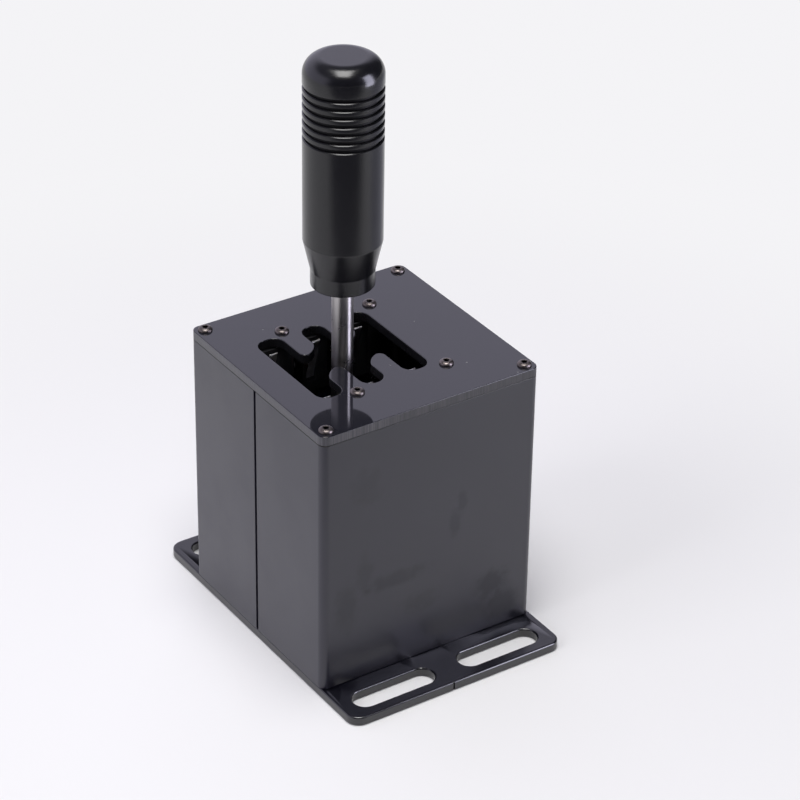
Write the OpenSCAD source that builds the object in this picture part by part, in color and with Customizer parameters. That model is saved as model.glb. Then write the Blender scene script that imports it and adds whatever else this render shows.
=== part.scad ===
// Six-position gear shifter for a racing rig: a split extruded case on a slotted base plate,
// a gate cut in the top plate, and a lever on a two-axis pivot that presses one of six switches.
// Millimetres, +Z up. The origin is the middle of the base plate's underside, +X runs to the
// right across the front face and +Y runs to the rear.

/* [Case] */
// Width of the case across its front face
case_w = 100; // [92:0.5:130]
// Depth of the case from front to rear
case_d = 98; // [95:0.5:130]
// Height of the two shells between the plates
shell_h = 112.5; // [104:0.5:140]
// Thickness of the extruded walls
wall_t = 2.5; // [1.5:0.1:3.2]
// Radius of the case's upright corners
case_r = 3.4; // [3.3:0.1:5]
// Width of the open joint between the two shells
joint_gap = 1.4; // [0.6:0.1:2]
// Distance of the corner screws from the outer faces
port_inset = 4.4; // [4:0.1:5]
// Outer radius of the screw ports in the corners
port_r = 3.6; // [3:0.1:4]
// Thickness of the lip that covers the joint from inside
lip_t = 1.2; // [0.8:0.1:2]
// Reach of the lip past the joint
lip_reach = 3; // [2:0.1:5]

/* [Plates] */
// Thickness of the base plate
base_t = 4; // [3:0.1:6]
// Thickness of the top plate
top_t = 4; // [2.5:0.1:5]
// Length of each base flange in front of and behind the case
flange_l = 23.2; // [20:0.1:30]
// Radius of the base plate's corners
base_r = 5.6; // [4:0.1:9]
// End-to-end length of the base slots
slot_l = 37.2; // [24:0.2:42]
// Width of the base slots
slot_w = 10.4; // [6.5:0.1:11]
// Sideways place of the base slots' centres
slot_x = 24.9; // [22:0.1:27]
// Distance of the slots' centre line from the plate's end
slot_inset = 10.2; // [9:0.1:13]

/* [Gate] */
// Distance between the gate's columns
gate_pitch = 19.7; // [18.8:0.1:21]
// Width of the gate's outer columns
gate_slot_w = 11.4; // [10.8:0.1:12.4]
// Width of the gate's middle column
gate_mid_w = 10.2; // [10.1:0.1:12]
// Distance of the columns' ends from the middle
gate_reach = 25; // [24.2:0.1:26]
// Width of the neutral channel
neutral_w = 13.4; // [11:0.1:16]
// Corner radius of the columns' ends
gate_end_r = 5; // [2:0.1:5]
// Share of a tongue's width that its wide guiding corner takes
guide_share = 0.7; // [0.5:0.05:0.85]
// How far a guiding corner bulges beyond a straight cut
guide_bow = 1; // [0.4:0.1:1.3]

/* [Lever] */
// Diameter of the lever's shaft
shaft_d = 8.6; // [7:0.1:9]
// Height of the lever's pivot above the base plate
pivot_h = 20; // [19:0.1:24]
// Height of the knob's collar above the top plate
knob_lift = 32.1; // [20:0.1:50]
// Length of the shaft inside the knob
knob_grip = 44; // [20:0.5:60]
// Side of the lever's hub
hub_w = 16; // [15:0.1:17]
// Length of the hub below its pivot
hub_drop = 9; // [7.5:0.1:10]
// Height of the hub above its pivot
hub_rise = 16; // [14:0.1:20]
// Thickness of the shaft's lock nut
lock_nut_t = 6.5; // [4:0.1:8]
// Width across the flats of the shaft's lock nut
lock_nut_af = 13; // [12:0.1:15]

/* [Knob] */
// Diameter of the knob
knob_d = 31.1; // [28.4:0.1:38]
// Length of the knob
knob_l = 95.6; // [85:0.1:120]
// Diameter of the knob's collar
collar_d = 25.3; // [18:0.1:27]
// Height of the knob's collar
collar_h = 6.8; // [4:0.1:10]
// Height of the cone above the collar
cone_h = 12.6; // [6:0.1:16]
// Radius of the knob's top edge
knob_r = 7; // [3:0.1:7.1]
// Number of grooves round the knob
groove_n = 7; // [3:1:9]
// Distance between the grooves
groove_pitch = 3.43; // [2.6:0.01:4]
// Width of a groove at the surface
groove_w = 1.7; // [1:0.1:2]
// Depth of a groove
groove_depth = 1.1; // [0.4:0.1:1.5]
// Distance of the first groove's lower edge from the top
groove_top = 12.3; // [10:0.1:16]

/* [Switches] */
// Height of a switch body
switch_h = 19.8; // [18:0.1:21]
// Depth of a switch body from its plunger face
switch_depth = 10.2; // [9:0.1:11]
// Width of a switch body
switch_w = 6.4; // [5.5:0.1:6.6]
// Distance of the plunger faces from the middle
switch_y = 24; // [23.4:0.1:25]
// Gap between the switches and the top plate
switch_top_gap = 0.6; // [0.3:0.1:1]
// Distance of the blades' tips from the middle
blade_tip_y = 18.9; // [18:0.1:21]
// Height of the blades' tips above the underside of the top plate
blade_rise = 0.7; // [0.4:0.1:2.5]
// Width of a blade
blade_w = 3.6; // [2.5:0.1:4.5]
// Thickness of a blade
blade_t = 0.4; // [0.3:0.05:0.6]
// Spacing of the two screws through a switch
switch_screw_pitch = 9.5; // [8:0.1:11]
// Distance of those screws from the switch's back
switch_screw_inset = 2.9; // [2.4:0.1:3.5]
// Length of the switches' terminals
terminal_l = 3.9; // [2:0.1:4.2]
// Thickness of the switch bars' shelf
shelf_t = 5; // [4:0.1:7]
// Thickness of the fins that hold the switches
fin_t = 5; // [4.6:0.1:5.4]
// Radius of the switch bars' screw bosses
boss_r = 4.65; // [3.5:0.05:4.8]
// How far the bosses stand sideways beyond one gate pitch
boss_offset = 0.9; // [0.7:0.1:1.3]
// Distance of the bosses from the middle
boss_y = 27.5; // [27:0.1:28.5]

/* [Pivot] */
// Width of the gimbal ring
ring_w = 44; // [42:0.5:48]
// Height of the gimbal ring
ring_h = 12; // [11:0.1:13]
// Width of the ring's window
window_w = 22; // [21:0.1:23]
// Depth of the ring's window
window_d = 24; // [22:0.1:24.5]
// Diameter of the trunnion pins
pin_d = 6; // [5:0.1:7]
// Diameter of the cross bolt
bolt_d = 6; // [5:0.1:6.4]
// Distance of the brackets' inner faces from the middle
ear_y = 20.5; // [19.5:0.1:22]
// Thickness of the brackets
ear_t = 4; // [3:0.1:5]
// Radius of the brackets' round tops
ear_r = 11; // [8:0.1:13]
// Length of the brackets' feet, with the upright
foot_l = 18; // [17:0.1:22]
// Width of the brackets' feet
foot_w = 30; // [28:0.5:36]
// Outer diameter of the pivot bushes
bush_d = 8.5; // [8:0.1:10]
// Diameter of the bushes' flanges
bush_flange_d = 12; // [11:0.1:14]
// Thickness of the bushes' flanges
bush_flange_t = 1.2; // [0.8:0.1:1.6]
// Outer diameter of the hub's bush
hub_bush_d = 9; // [8.4:0.1:10]

/* [Springs] */
// Sideways distance of the return springs from the pivot
spring_x = 16.5; // [16:0.1:17]
// Outer diameter of the return springs
spring_d = 7.9; // [7:0.1:8.2]
// Diameter of the spring wire
wire_d = 0.9; // [0.6:0.05:1.1]
// Number of curls
curls = 6; // [4:1:7]
// Depth of the ring's spring pockets
pocket_depth = 2; // [1:0.1:2.4]
// Thickness of the spring seats' flanges
seat_t = 1.5; // [1:0.1:2]

/* [Electronics] */
// Width of the controller board
board_w = 42; // [36:0.5:46]
// Height of the controller board
board_h = 23; // [18:0.5:26]
// Thickness of the controller board
board_t = 1.6; // [1:0.1:2]
// Distance of the board's top edge below the top plate
board_drop = 26.5; // [25.5:0.5:34.5]
// Sideways place of the board's middle
board_x = 0; // [-2:0.5:4]
// Length of the board's standoffs
standoff_l = 5; // [4:0.1:6]
// Number of pins in the header row
pin_n = 8; // [4:1:10]
// Distance between the header pins
pin_pitch = 2; // [1.5:0.1:2.54]
// Length of the header pins
pin_reach = 6.5; // [3:0.5:8]
// Gap between the data socket's flange and the corner screw port
socket_gap = 1; // [0.5:0.1:3]
// Height of the data socket's middle above the base plate
socket_z = 16; // [14:0.5:24]
// Diameter of the wire looms
loom_d = 4; // [3:0.1:4.5]

/* [Screws] */
// Diameter of the case and switch bar screws
screw_d = 3; // [2.5:0.1:3.4]
// Diameter of their button heads
head_d = 5.8; // [5.4:0.1:6.4]
// Height of their button heads
head_h = 1.65; // [1.2:0.05:2]
// Length of the case screws in the ports
screw_l = 10; // [8:0.5:14]
// Diameter of the bracket screws
foot_screw_d = 4; // [3:0.1:4.5]
// Diameter of the switch screws
small_screw_d = 2; // [1.6:0.1:2.2]

/* [Clearances] */
// Radial clearance of a screw in its hole
screw_play = 0.1; // [0.05:0.05:0.3]
// Radial clearance of a pivot in its bush
pivot_play = 0.04; // [0.02:0.01:0.08]
// Gap between faces that turn against each other
side_play = 0.3; // [0.2:0.05:0.5]
// Gap between pieces that seat side by side
seat_play = 0.1; // [0.05:0.05:0.2]

/* [Hidden] */
$fn = 64;
// Overshoot of a cut past the face that it opens
cut = 1;
// How far a screw's end stays short of the face ahead of it
short = 0.5;
// Shares of a button head: its upright rim, the floor under its socket and the socket's width
rim_share = 0.15;
floor_share = 0.35;
key_share = 0.66;
// Countersunk heads under the base plate, and the heads of the small screws
sink_h = 0.55 * screw_d;
sink_socket = 0.4 * screw_d;
small_head_d = 1.8 * small_screw_d;
small_head_h = 0.65 * small_screw_d;

base_l = case_d + 2 * flange_l;
slot_y = base_l / 2 - slot_inset;
shell_z = base_t;
plate_z = base_t + shell_h;
top_z = plate_z + top_t;
port_x = case_w / 2 - port_inset;
port_y = case_d / 2 - port_inset;
inner_x = case_w / 2 - wall_t;
inner_y = case_d / 2 - wall_t;

gate_x = -gate_pitch / 2;
column_x = [for (i = [-1, 0, 1]) gate_x + i * gate_pitch];
column_w = [gate_slot_w, gate_mid_w, gate_slot_w];
tongue_w = gate_pitch - (gate_slot_w + gate_mid_w) / 2;
tongue_x = (gate_mid_w + tongue_w) / 2;
guide_r = guide_share * tongue_w;
boss_x = gate_pitch + boss_offset;

pivot_z = base_t + pivot_h;
knob_z = top_z + knob_lift;
hub_floor = 2;
shaft_z = pivot_z + hub_bush_d / 2 + hub_floor;
shaft_top = knob_z + knob_grip;
hub_top = pivot_z + hub_rise;
hub_r = 2;

ring_l = 2 * (ear_y - bush_flange_t - side_play);
ring_z = pivot_z - ring_h / 2;
ring_r = 4;
pin_tail = 3;
pin_end = ear_y + ear_t + pin_tail;
clip_y = ear_y + ear_t + side_play;
clip_t = 0.8;
clip_rim = 1.8;
clip_r = pin_d / 2 + clip_rim;
clip_neck = 0.5;
bolt_head_h = 4;
bolt_af = 10;
bolt_nut_h = 5;
bolt_tail = 1.5;

foot_t = ear_t;
foot_screw_inset = 5;
foot_screw_x = foot_w / 2 - foot_screw_inset;
foot_screw_y = ear_y + foot_l - foot_screw_inset;
foot_head_d = 1.75 * foot_screw_d;
foot_socket = 0.55 * foot_screw_d;
foot_key = 0.75 * foot_screw_d;

seat_rim = 1.5;
seat_d = spring_d + 2 * seat_rim;
peg_gap = 0.85;
seat_peg_d = spring_d - 2 * (wire_d + peg_gap);
seat_peg_h = 3;
seat_root_d = 4;
seat_floor = 1;
seat_root_l = base_t - seat_floor;
spring_r = (spring_d - wire_d) / 2;
spring_z = base_t + seat_t;
spring_top = ring_z + pocket_depth;
pocket_gap = 0.55;
pocket_d = spring_d + 2 * pocket_gap;

switch_z = plate_z - switch_top_gap - switch_h;
switch_back = switch_y + switch_depth;
switch_screw_y = switch_back - switch_screw_inset;
switch_mid_z = switch_z + switch_h / 2;
shelf_z = switch_z - shelf_t;
blade_foot = 2;
blade_z = switch_z + blade_foot;
blade_top = plate_z + blade_rise;
plunger_rise = 7;
plunger_z = switch_z + plunger_rise;
plunger_w = 2.8;
plunger_h = 1.2;
terminal_w = 3.2;
terminal_t = 0.5;
terminal_pitch = 0.4 * switch_h;

board_y = inner_y - standoff_l;
board_z = plate_z - board_drop - board_h;
board_hole = 2.5;
socket_w = 12;
socket_h = 11;
socket_depth = 14;
socket_flange_w = 36;
socket_flange_h = 14;
socket_flange_t = 2;
socket_screw_x = 14;
socket_x = port_x - port_r - socket_gap - socket_flange_w / 2;
socket_mouth_w = 8.5;
socket_mouth_h = 7.8;
socket_mouth_depth = 9;
socket_key_w = 2 / 3 * socket_mouth_w;
socket_key_h = 0.4 * socket_mouth_h;
socket_key_gap = 1;

// The looms lie on the switches' backs, between two rows of terminals
loom_y = switch_back + loom_d / 2 + seat_play;
loom_z = switch_mid_z + terminal_pitch / 2;
lead_d = 0.8 * loom_d;
bend_swell = 0.1;

// Shapes that repeat

module rounded_rect(w, d, r) {
  square([w - 2 * r, d], center = true);
  square([w, d - 2 * r], center = true);
  for (sx = [-1, 1], sy = [-1, 1]) {
    translate([sx * (w / 2 - r), sy * (d / 2 - r)]) circle(r);
  }
}

module slot_2d(l, w) {
  square([l - w, w], center = true);
  for (s = [-1, 1]) translate([s * (l - w) / 2, 0]) circle(w / 2);
}

// Draws its children on the rear side (side 1) or mirrored to the front (side -1)
module on_side(side) {
  if (side > 0) children();
  else mirror([0, 1, 0]) children();
}

module at_ports() {
  for (sx = [-1, 1], sy = [-1, 1]) translate([sx * port_x, sy * port_y, 0]) children();
}

module at_bosses() {
  for (sx = [-1, 1], sy = [-1, 1]) translate([sx * boss_x, sy * boss_y, 0]) children();
}

// A cylinder along X or Y, centred on its middle
module rod_x(d, l) {
  rotate([0, 90, 0]) cylinder(d = d, h = l, center = true);
}

module rod_y(d, l) {
  rotate([90, 0, 0]) cylinder(d = d, h = l, center = true);
}

module tube(d, bore, h) {
  difference() {
    cylinder(d = d, h = h);
    translate([0, 0, -cut]) cylinder(d = bore, h = h + 2 * cut);
  }
}

// A hexagon of a given width across its flats
module hexagon(af, h) {
  cylinder(d = af / cos(30), h = h, $fn = 6);
}

// A domed screw with a hex socket: its head stands on z = 0 and its shank points down
module button_screw(d, hd, hh, l) {
  rim = rim_share * hh;
  rise = hh - rim;
  dome = (hd * hd / 4 + rise * rise) / (2 * rise);
  difference() {
    union() {
      intersection() {
        cylinder(d = hd, h = hh);
        translate([0, 0, hh - dome]) sphere(dome);
      }
      translate([0, 0, -l]) cylinder(d = d, h = l + hh / 2);
    }
    translate([0, 0, floor_share * hh]) hexagon(key_share * d, hh);
  }
}

// A cap screw with a hex socket, set the same way
module cap_screw(d, hd, socket, key, l) {
  difference() {
    union() {
      cylinder(d = hd, h = d);
      translate([0, 0, -l]) cylinder(d = d, h = l + d / 2);
    }
    translate([0, 0, d - socket]) hexagon(key, d);
  }
}

// Plates and shells

module base_plate() {
  color("#2b2b31")
  difference() {
    linear_extrude(base_t) difference() {
      rounded_rect(case_w, base_l, base_r);
      for (sx = [-1, 1], sy = [-1, 1]) {
        translate([sx * slot_x, sy * slot_y]) slot_2d(slot_l, slot_w);
        translate([gate_x + sx * foot_screw_x, sy * foot_screw_y]) {
          circle(d = foot_screw_d + 2 * screw_play);
        }
      }
    }
    at_ports() countersink(screw_play);
    for (s = [-1, 1]) translate([gate_x + s * spring_x, 0, base_t - seat_root_l - seat_play]) {
      cylinder(d = seat_root_d + 2 * seat_play, h = base_t);
    }
  }
}

// The outline of a countersunk screw, from the base plate's underside up
module countersink(play, l = base_t + cut) {
  cylinder(d = screw_d + 2 * play, h = l);
  cylinder(r1 = screw_d + play, r2 = screw_d / 2 + play, h = sink_h + play);
  if (play > 0) translate([0, 0, -cut]) cylinder(r = screw_d + play, h = cut);
}

// The upright section of both shells in one
module shell_2d() {
  difference() {
    intersection() {
      rounded_rect(case_w, case_d, case_r);
      union() {
        difference() {
          square([case_w, case_d], center = true);
          square([2 * inner_x, 2 * inner_y], center = true);
        }
        for (sx = [-1, 1], sy = [-1, 1]) translate([sx * port_x, sy * port_y]) {
          circle(port_r);
          translate([sx * port_inset / 2, sy * port_inset / 2]) square(port_inset, center = true);
        }
      }
    }
    for (sx = [-1, 1], sy = [-1, 1]) {
      translate([sx * port_x, sy * port_y]) circle(d = screw_d + 2 * screw_play);
    }
  }
}

// The half of that section on one side of the joint
module half_2d(side) {
  on_side(side) intersection() {
    shell_2d();
    translate([-case_w, joint_gap / 2]) square([2 * case_w, case_d]);
  }
}

module front_shell() {
  color("#3a393f") translate([0, 0, shell_z]) linear_extrude(shell_h) half_2d(-1);
}

module rear_shell() {
  lip_x = inner_x - seat_play - lip_t;
  color("#3a393f")
  difference() {
    translate([0, 0, shell_z]) linear_extrude(shell_h) {
      half_2d(1);
      for (s = [-1, 1]) {
        translate([s * (lip_x + lip_t / 2), 0]) square([lip_t, 2 * lip_reach], center = true);
        translate([s * (lip_x + (inner_x - lip_x) / 2), (joint_gap / 2 + lip_reach) / 2]) {
          square([inner_x - lip_x, lip_reach - joint_gap / 2], center = true);
        }
      }
    }
    translate([socket_x, inner_y + wall_t / 2, base_t + socket_z]) {
      cube([socket_w + 2 * seat_play, wall_t + 2 * cut, socket_h + 2 * seat_play], center = true);
      for (s = [-1, 1]) translate([s * socket_screw_x, 0, 0]) {
        rod_y(screw_d + 2 * screw_play, wall_t + 2 * cut);
      }
    }
  }
}

// A quarter disc below and to the right of its centre
module quarter_2d(r) {
  intersection() {
    circle(r);
    translate([0, -r]) square(r);
  }
}

// A guiding corner, a flat arc from the tongue's tip at the origin up to its side
module guide_corner_2d() {
  chord = guide_r * sqrt(2);
  bow_r = chord * chord / (8 * guide_bow) + guide_bow / 2;
  inset = (bow_r - guide_bow) / sqrt(2);
  intersection() {
    square(guide_r);
    translate([guide_r / 2 - inset, guide_r / 2 + inset]) circle(bow_r);
  }
}

// The tip of a rear tongue, whose right corner is wide and guides the lever across the gate
module tongue_tip_2d() {
  other_r = tongue_w - guide_r;
  translate([other_r - tongue_w / 2, neutral_w / 2]) {
    guide_corner_2d();
    translate([0, other_r]) mirror([1, 0]) quarter_2d(other_r);
    translate([-other_r, other_r]) square([other_r, guide_r - other_r]);
    translate([-other_r, guide_r]) square([tongue_w, cut]);
  }
}

// The gate: three columns across a neutral channel, with tongues between them
module gate_2d() {
  for (i = [0:2]) translate([column_x[i], 0]) {
    rounded_rect(column_w[i], 2 * gate_reach, gate_end_r);
  }
  difference() {
    translate([gate_x, 0]) square([2 * gate_pitch, neutral_w + 2 * guide_r], center = true);
    for (sx = [-1, 1], turn = [0, 180]) {
      translate([gate_x + sx * tongue_x, 0]) rotate(turn) tongue_tip_2d();
    }
  }
}

module top_plate() {
  color("#3d3c43")
  translate([0, 0, plate_z]) linear_extrude(top_t) difference() {
    rounded_rect(case_w, case_d, case_r);
    gate_2d();
    at_ports() circle(d = screw_d + 2 * screw_play);
    at_bosses() circle(d = screw_d + 2 * screw_play);
  }
}

module cover_screws() {
  color("#6a686c") translate([0, 0, top_z]) at_ports() {
    button_screw(screw_d, head_d, head_h, top_t + screw_l);
  }
}

module switch_bar_screws() {
  color("#6a686c") translate([0, 0, top_z]) at_bosses() {
    button_screw(screw_d, head_d, head_h, top_t + screw_l);
  }
}

module base_screws() {
  color("#6a686c") at_ports() difference() {
    countersink(0, base_t + screw_l);
    translate([0, 0, -cut]) hexagon(key_share * screw_d, cut + sink_socket);
  }
}

// Switches and their holders

module switch_bar(side) {
  left = column_x[0] - switch_w / 2;
  right = boss_x + boss_r;
  color("#202024") on_side(side) difference() {
    union() {
      translate([left, switch_y, shelf_z]) cube([right - left, switch_depth, shelf_t]);
      for (x = column_x) translate([x + switch_w / 2, switch_y, switch_z - cut]) {
        cube([fin_t, switch_depth, switch_h + cut]);
      }
      for (s = [-1, 1]) translate([s * boss_x, boss_y, shelf_z]) {
        cylinder(r = boss_r, h = plate_z - shelf_z);
      }
    }
    for (s = [-1, 1]) translate([s * boss_x, boss_y, plate_z - screw_l - cut]) {
      cylinder(d = screw_d + 2 * screw_play, h = screw_l + 2 * cut);
    }
    for (x = column_x) at_switch_screws(x) {
      translate([switch_w / 2 + fin_t / 2, 0, 0]) rod_x(small_screw_d + 2 * screw_play, fin_t);
    }
    for (x = column_x) translate([x - switch_w / 2, switch_y - cut, switch_z]) {
      cube([switch_w, switch_depth + 2 * cut, switch_h + cut]);
    }
  }
}

// Draws its children at both screws of the switch in one column of the rear bar
module at_switch_screws(x) {
  for (s = [-1, 1]) {
    translate([x, switch_screw_y, switch_mid_z + s * switch_screw_pitch / 2]) children();
  }
}

// Odd gears lie at the rear of the gate and even ones at the front
module at_gear(gear) {
  on_side(gear % 2 == 1 ? 1 : -1) translate([column_x[floor((gear - 1) / 2)], 0, 0]) children();
}

module microswitch(gear) {
  color("#1d1d20") at_gear(gear) difference() {
    translate([-switch_w / 2 + seat_play, switch_y, switch_z]) {
      cube([switch_w - seat_play, switch_depth, switch_h]);
    }
    at_switch_screws(0) rod_x(small_screw_d + 2 * screw_play, switch_w + 2 * cut);
  }
}

// How far a blade's back stands from the middle at a height
function blade_back(z) =
  switch_y + (blade_tip_y + blade_t - switch_y) * (z - blade_z) / (blade_top - blade_z);

module switch_blade(gear) {
  color("#c9c9cc") at_gear(gear) translate([-blade_w / 2, 0, 0]) {
    rotate([90, 0, 90]) linear_extrude(blade_w) polygon([
      [switch_y - blade_t, blade_z], [switch_y, blade_z],
      [blade_tip_y + blade_t, blade_top], [blade_tip_y, blade_top]
    ]);
  }
}

module switch_plungers() {
  reach = switch_y - blade_back(plunger_z - plunger_h / 2) - seat_play;
  color("#b8402f") for (gear = [1:6]) at_gear(gear) {
    translate([-plunger_w / 2, switch_y - reach, plunger_z - plunger_h / 2]) {
      cube([plunger_w, reach, plunger_h]);
    }
  }
}

module switch_terminals() {
  color("#c8b98c") for (gear = [1:6]) at_gear(gear) for (s = [-1, 0, 1]) {
    translate([-terminal_w / 2, switch_back, switch_mid_z + s * terminal_pitch - terminal_t / 2]) {
      cube([terminal_w, terminal_l, terminal_t]);
    }
  }
}

module switch_screws() {
  color("#8c8c90") for (gear = [1:6]) at_gear(gear) at_switch_screws(0) {
    translate([-switch_w / 2 + seat_play, 0, 0]) rotate([0, -90, 0]) {
      button_screw(small_screw_d, small_head_d, small_head_h, switch_w + fin_t - short);
    }
  }
}

// Pivot

module pivot_bracket(side) {
  color("#55555c") on_side(side) translate([gate_x, 0, 0]) difference() {
    union() {
      translate([-foot_w / 2, ear_y, base_t]) cube([foot_w, foot_l, foot_t]);
      translate([-ear_r, ear_y, base_t]) cube([2 * ear_r, ear_t, pivot_h]);
      translate([0, ear_y + ear_t / 2, pivot_z]) rod_y(2 * ear_r, ear_t);
    }
    translate([0, ear_y + ear_t / 2, pivot_z]) rod_y(bush_d, ear_t + 2 * cut);
    for (s = [-1, 1]) translate([s * foot_screw_x, foot_screw_y, base_t - cut]) {
      cylinder(d = foot_screw_d + 2 * screw_play, h = foot_t + 2 * cut);
    }
  }
}

module bracket_screws() {
  color("#8c8c90") for (sx = [-1, 1], sy = [-1, 1]) {
    translate([gate_x + sx * foot_screw_x, sy * foot_screw_y, base_t + foot_t]) {
      cap_screw(foot_screw_d, foot_head_d, foot_socket, foot_key, foot_t + base_t - short);
    }
  }
}

module pivot_bushes() {
  bore = pin_d + 2 * pivot_play;
  color("#b08d57") for (side = [-1, 1]) on_side(side) {
    translate([gate_x, ear_y + ear_t, pivot_z]) rotate([90, 0, 0]) {
      tube(bush_d, bore, ear_t);
      translate([0, 0, ear_t]) tube(bush_flange_d, bore, bush_flange_t);
    }
  }
}

module gimbal_ring() {
  color("#6d6d74") translate([gate_x, 0, 0]) difference() {
    translate([0, 0, ring_z]) linear_extrude(ring_h) difference() {
      rounded_rect(ring_w, ring_l, ring_r);
      square([window_w, window_d], center = true);
    }
    translate([0, 0, pivot_z]) {
      rod_x(bolt_d + 2 * seat_play, ring_w + 2 * cut);
      rod_y(pin_d, ring_l + 2 * cut);
    }
    for (s = [-1, 1]) translate([s * spring_x, 0, ring_z - cut]) {
      cylinder(d = pocket_d, h = pocket_depth + cut);
    }
  }
}

module trunnion_pins() {
  inner = window_d / 2;
  color("#b9b9bd") for (side = [-1, 1]) on_side(side) translate([gate_x, 0, pivot_z]) difference() {
    translate([0, (inner + pin_end) / 2, 0]) rod_y(pin_d, pin_end - inner);
    translate([0, clip_y + clip_t, 0]) rotate([90, 0, 0]) {
      tube(pin_d + 2 * cut, pin_d - 2 * clip_neck, clip_t);
    }
  }
}

module retaining_clips() {
  neck = pin_d - 2 * clip_neck;
  mouth = 0.8 * neck;
  color("#77777c") for (side = [-1, 1]) on_side(side) translate([gate_x, clip_y + clip_t, pivot_z]) {
    rotate([90, 0, 0]) difference() {
      tube(2 * clip_r, neck, clip_t);
      translate([-mouth / 2, -2 * clip_r, -cut]) cube([mouth, 2 * clip_r, clip_t + 2 * cut]);
    }
  }
}

module cross_bolt() {
  length = ring_w + bolt_nut_h + bolt_tail;
  color("#b9b9bd") translate([gate_x - ring_w / 2, 0, pivot_z]) rotate([0, 90, 0]) {
    cylinder(d = bolt_d, h = length);
    translate([0, 0, -bolt_head_h]) hexagon(bolt_af, bolt_head_h);
  }
}

module cross_nut() {
  color("#8c8c90") translate([gate_x + ring_w / 2, 0, pivot_z]) rotate([0, 90, 0]) difference() {
    hexagon(bolt_af, bolt_nut_h);
    translate([0, 0, -cut]) cylinder(d = bolt_d + 2 * seat_play, h = bolt_nut_h + 2 * cut);
  }
}

module side_washers() {
  thick = (window_w - hub_w) / 2 - side_play;
  color("#d8d6cc") for (s = [-1, 1]) {
    translate([gate_x + s * (window_w / 2 - thick / 2), 0, pivot_z]) rotate([0, 90, 0]) {
      translate([0, 0, -thick / 2]) tube(2 * bolt_d, bolt_d + 2 * seat_play, thick);
    }
  }
}

module lever_hub() {
  color("#6d6d74") translate([gate_x, 0, 0]) difference() {
    union() {
      translate([0, 0, pivot_z - hub_drop]) linear_extrude(2 * hub_drop) rounded_rect(hub_w, hub_w, hub_r);
      translate([0, 0, pivot_z]) cylinder(d = hub_w, h = hub_rise);
    }
    translate([0, 0, pivot_z]) rod_x(hub_bush_d, hub_w + 2 * cut);
    translate([0, 0, shaft_z - seat_play]) cylinder(d = shaft_d + 2 * seat_play, h = hub_rise + cut);
  }
}

module hub_bush() {
  color("#b08d57") translate([gate_x - hub_w / 2, 0, pivot_z]) rotate([0, 90, 0]) {
    tube(hub_bush_d, bolt_d + 2 * pivot_play, hub_w);
  }
}

module lever_shaft() {
  color("#c4c4c8") translate([gate_x, 0, shaft_z]) cylinder(d = shaft_d, h = shaft_top - shaft_z);
}

module shaft_lock_nut() {
  color("#8c8c90") translate([gate_x, 0, hub_top]) difference() {
    hexagon(lock_nut_af, lock_nut_t);
    translate([0, 0, -cut]) cylinder(d = shaft_d + 2 * seat_play, h = lock_nut_t + 2 * cut);
  }
}

// Half of the knob's section, with its foot on the axis at the origin
module knob_2d() {
  r = knob_d / 2;
  neck_z = collar_h + cone_h;
  lip = groove_w * 0.2;
  difference() {
    union() {
      square([collar_d / 2, neck_z]);
      polygon([[0, collar_h], [collar_d / 2, collar_h], [r, neck_z], [0, neck_z]]);
      translate([0, neck_z]) square([r, knob_l - knob_r - neck_z]);
      square([r - knob_r, knob_l]);
      translate([r - knob_r, knob_l - knob_r]) circle(knob_r);
    }
    for (i = [0:groove_n - 1]) translate([r, knob_l - groove_top - i * groove_pitch]) polygon([
      [cut, 0], [0, 0], [-lip, lip], [-groove_depth, lip],
      [-groove_depth, groove_w - lip], [-lip, groove_w - lip], [0, groove_w], [cut, groove_w]
    ]);
    translate([0, -cut]) square([shaft_d / 2 + seat_play, knob_grip + seat_play + cut]);
  }
}

module knob() {
  color("#222226") translate([gate_x, 0, knob_z]) rotate_extrude() knob_2d();
}

// Return springs: one round wire each, swept along a helix with upright ends

rings = 8;
sides = 6;
lead = wire_d;
spring_l = spring_top - spring_z;
helix_l = spring_l - 2 * lead;
steps = curls * rings;

// Turn and height of point i on the wire's centre line: two points in each upright end
function wire_turn(i) = 360 / rings * min(max(i - 1, 0), steps);
function wire_z(i) = i == 0 ? 0 : i == steps + 2 ? spring_l : lead + helix_l * (i - 1) / steps;
function wire_point(i) = [spring_r * cos(wire_turn(i)), spring_r * sin(wire_turn(i)), wire_z(i)];
wire_points = [for (i = [0:steps + 2]) wire_point(i)];

function unit(v) = v / norm(v);
function wire_dir(i) =
  i == 0 || i == steps + 2 ? [0, 0, 1] :
  unit(unit(wire_points[i] - wire_points[i - 1]) + unit(wire_points[i + 1] - wire_points[i]));

// Ring of tube corners round point i, on the outward direction and one square to it
function wire_ring(i) =
  let (out = [cos(wire_turn(i)), sin(wire_turn(i)), 0], across = unit(cross(wire_dir(i), out)))
  [for (k = [0:sides - 1])
    wire_points[i] + wire_d / 2 * (cos(k * 360 / sides) * out + sin(k * 360 / sides) * across)];

module spring(x) {
  last = steps + 2;
  corners = [for (i = [0:last]) each wire_ring(i)];
  walls = [for (i = [0:last - 1], k = [0:sides - 1])
    let (a = i * sides + k, b = i * sides + (k + 1) % sides)
    each [[a, a + sides, b], [b, a + sides, b + sides]]];
  caps = [for (k = [1:sides - 2])
    each [[0, k, k + 1], [last * sides, last * sides + k + 1, last * sides + k]]];
  color("#b0b0b6") translate([gate_x + x, 0, spring_z]) polyhedron(corners, concat(walls, caps));
}

// Least gap of the wire to itself, between points half a curl or more apart
wire_gap = min([for (i = [0:steps + 2], j = [0:steps + 2])
  if (j >= i + rings / 2) norm(wire_points[i] - wire_points[j])]) - wire_d;
echo(spring_wire_gap = wire_gap);

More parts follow.
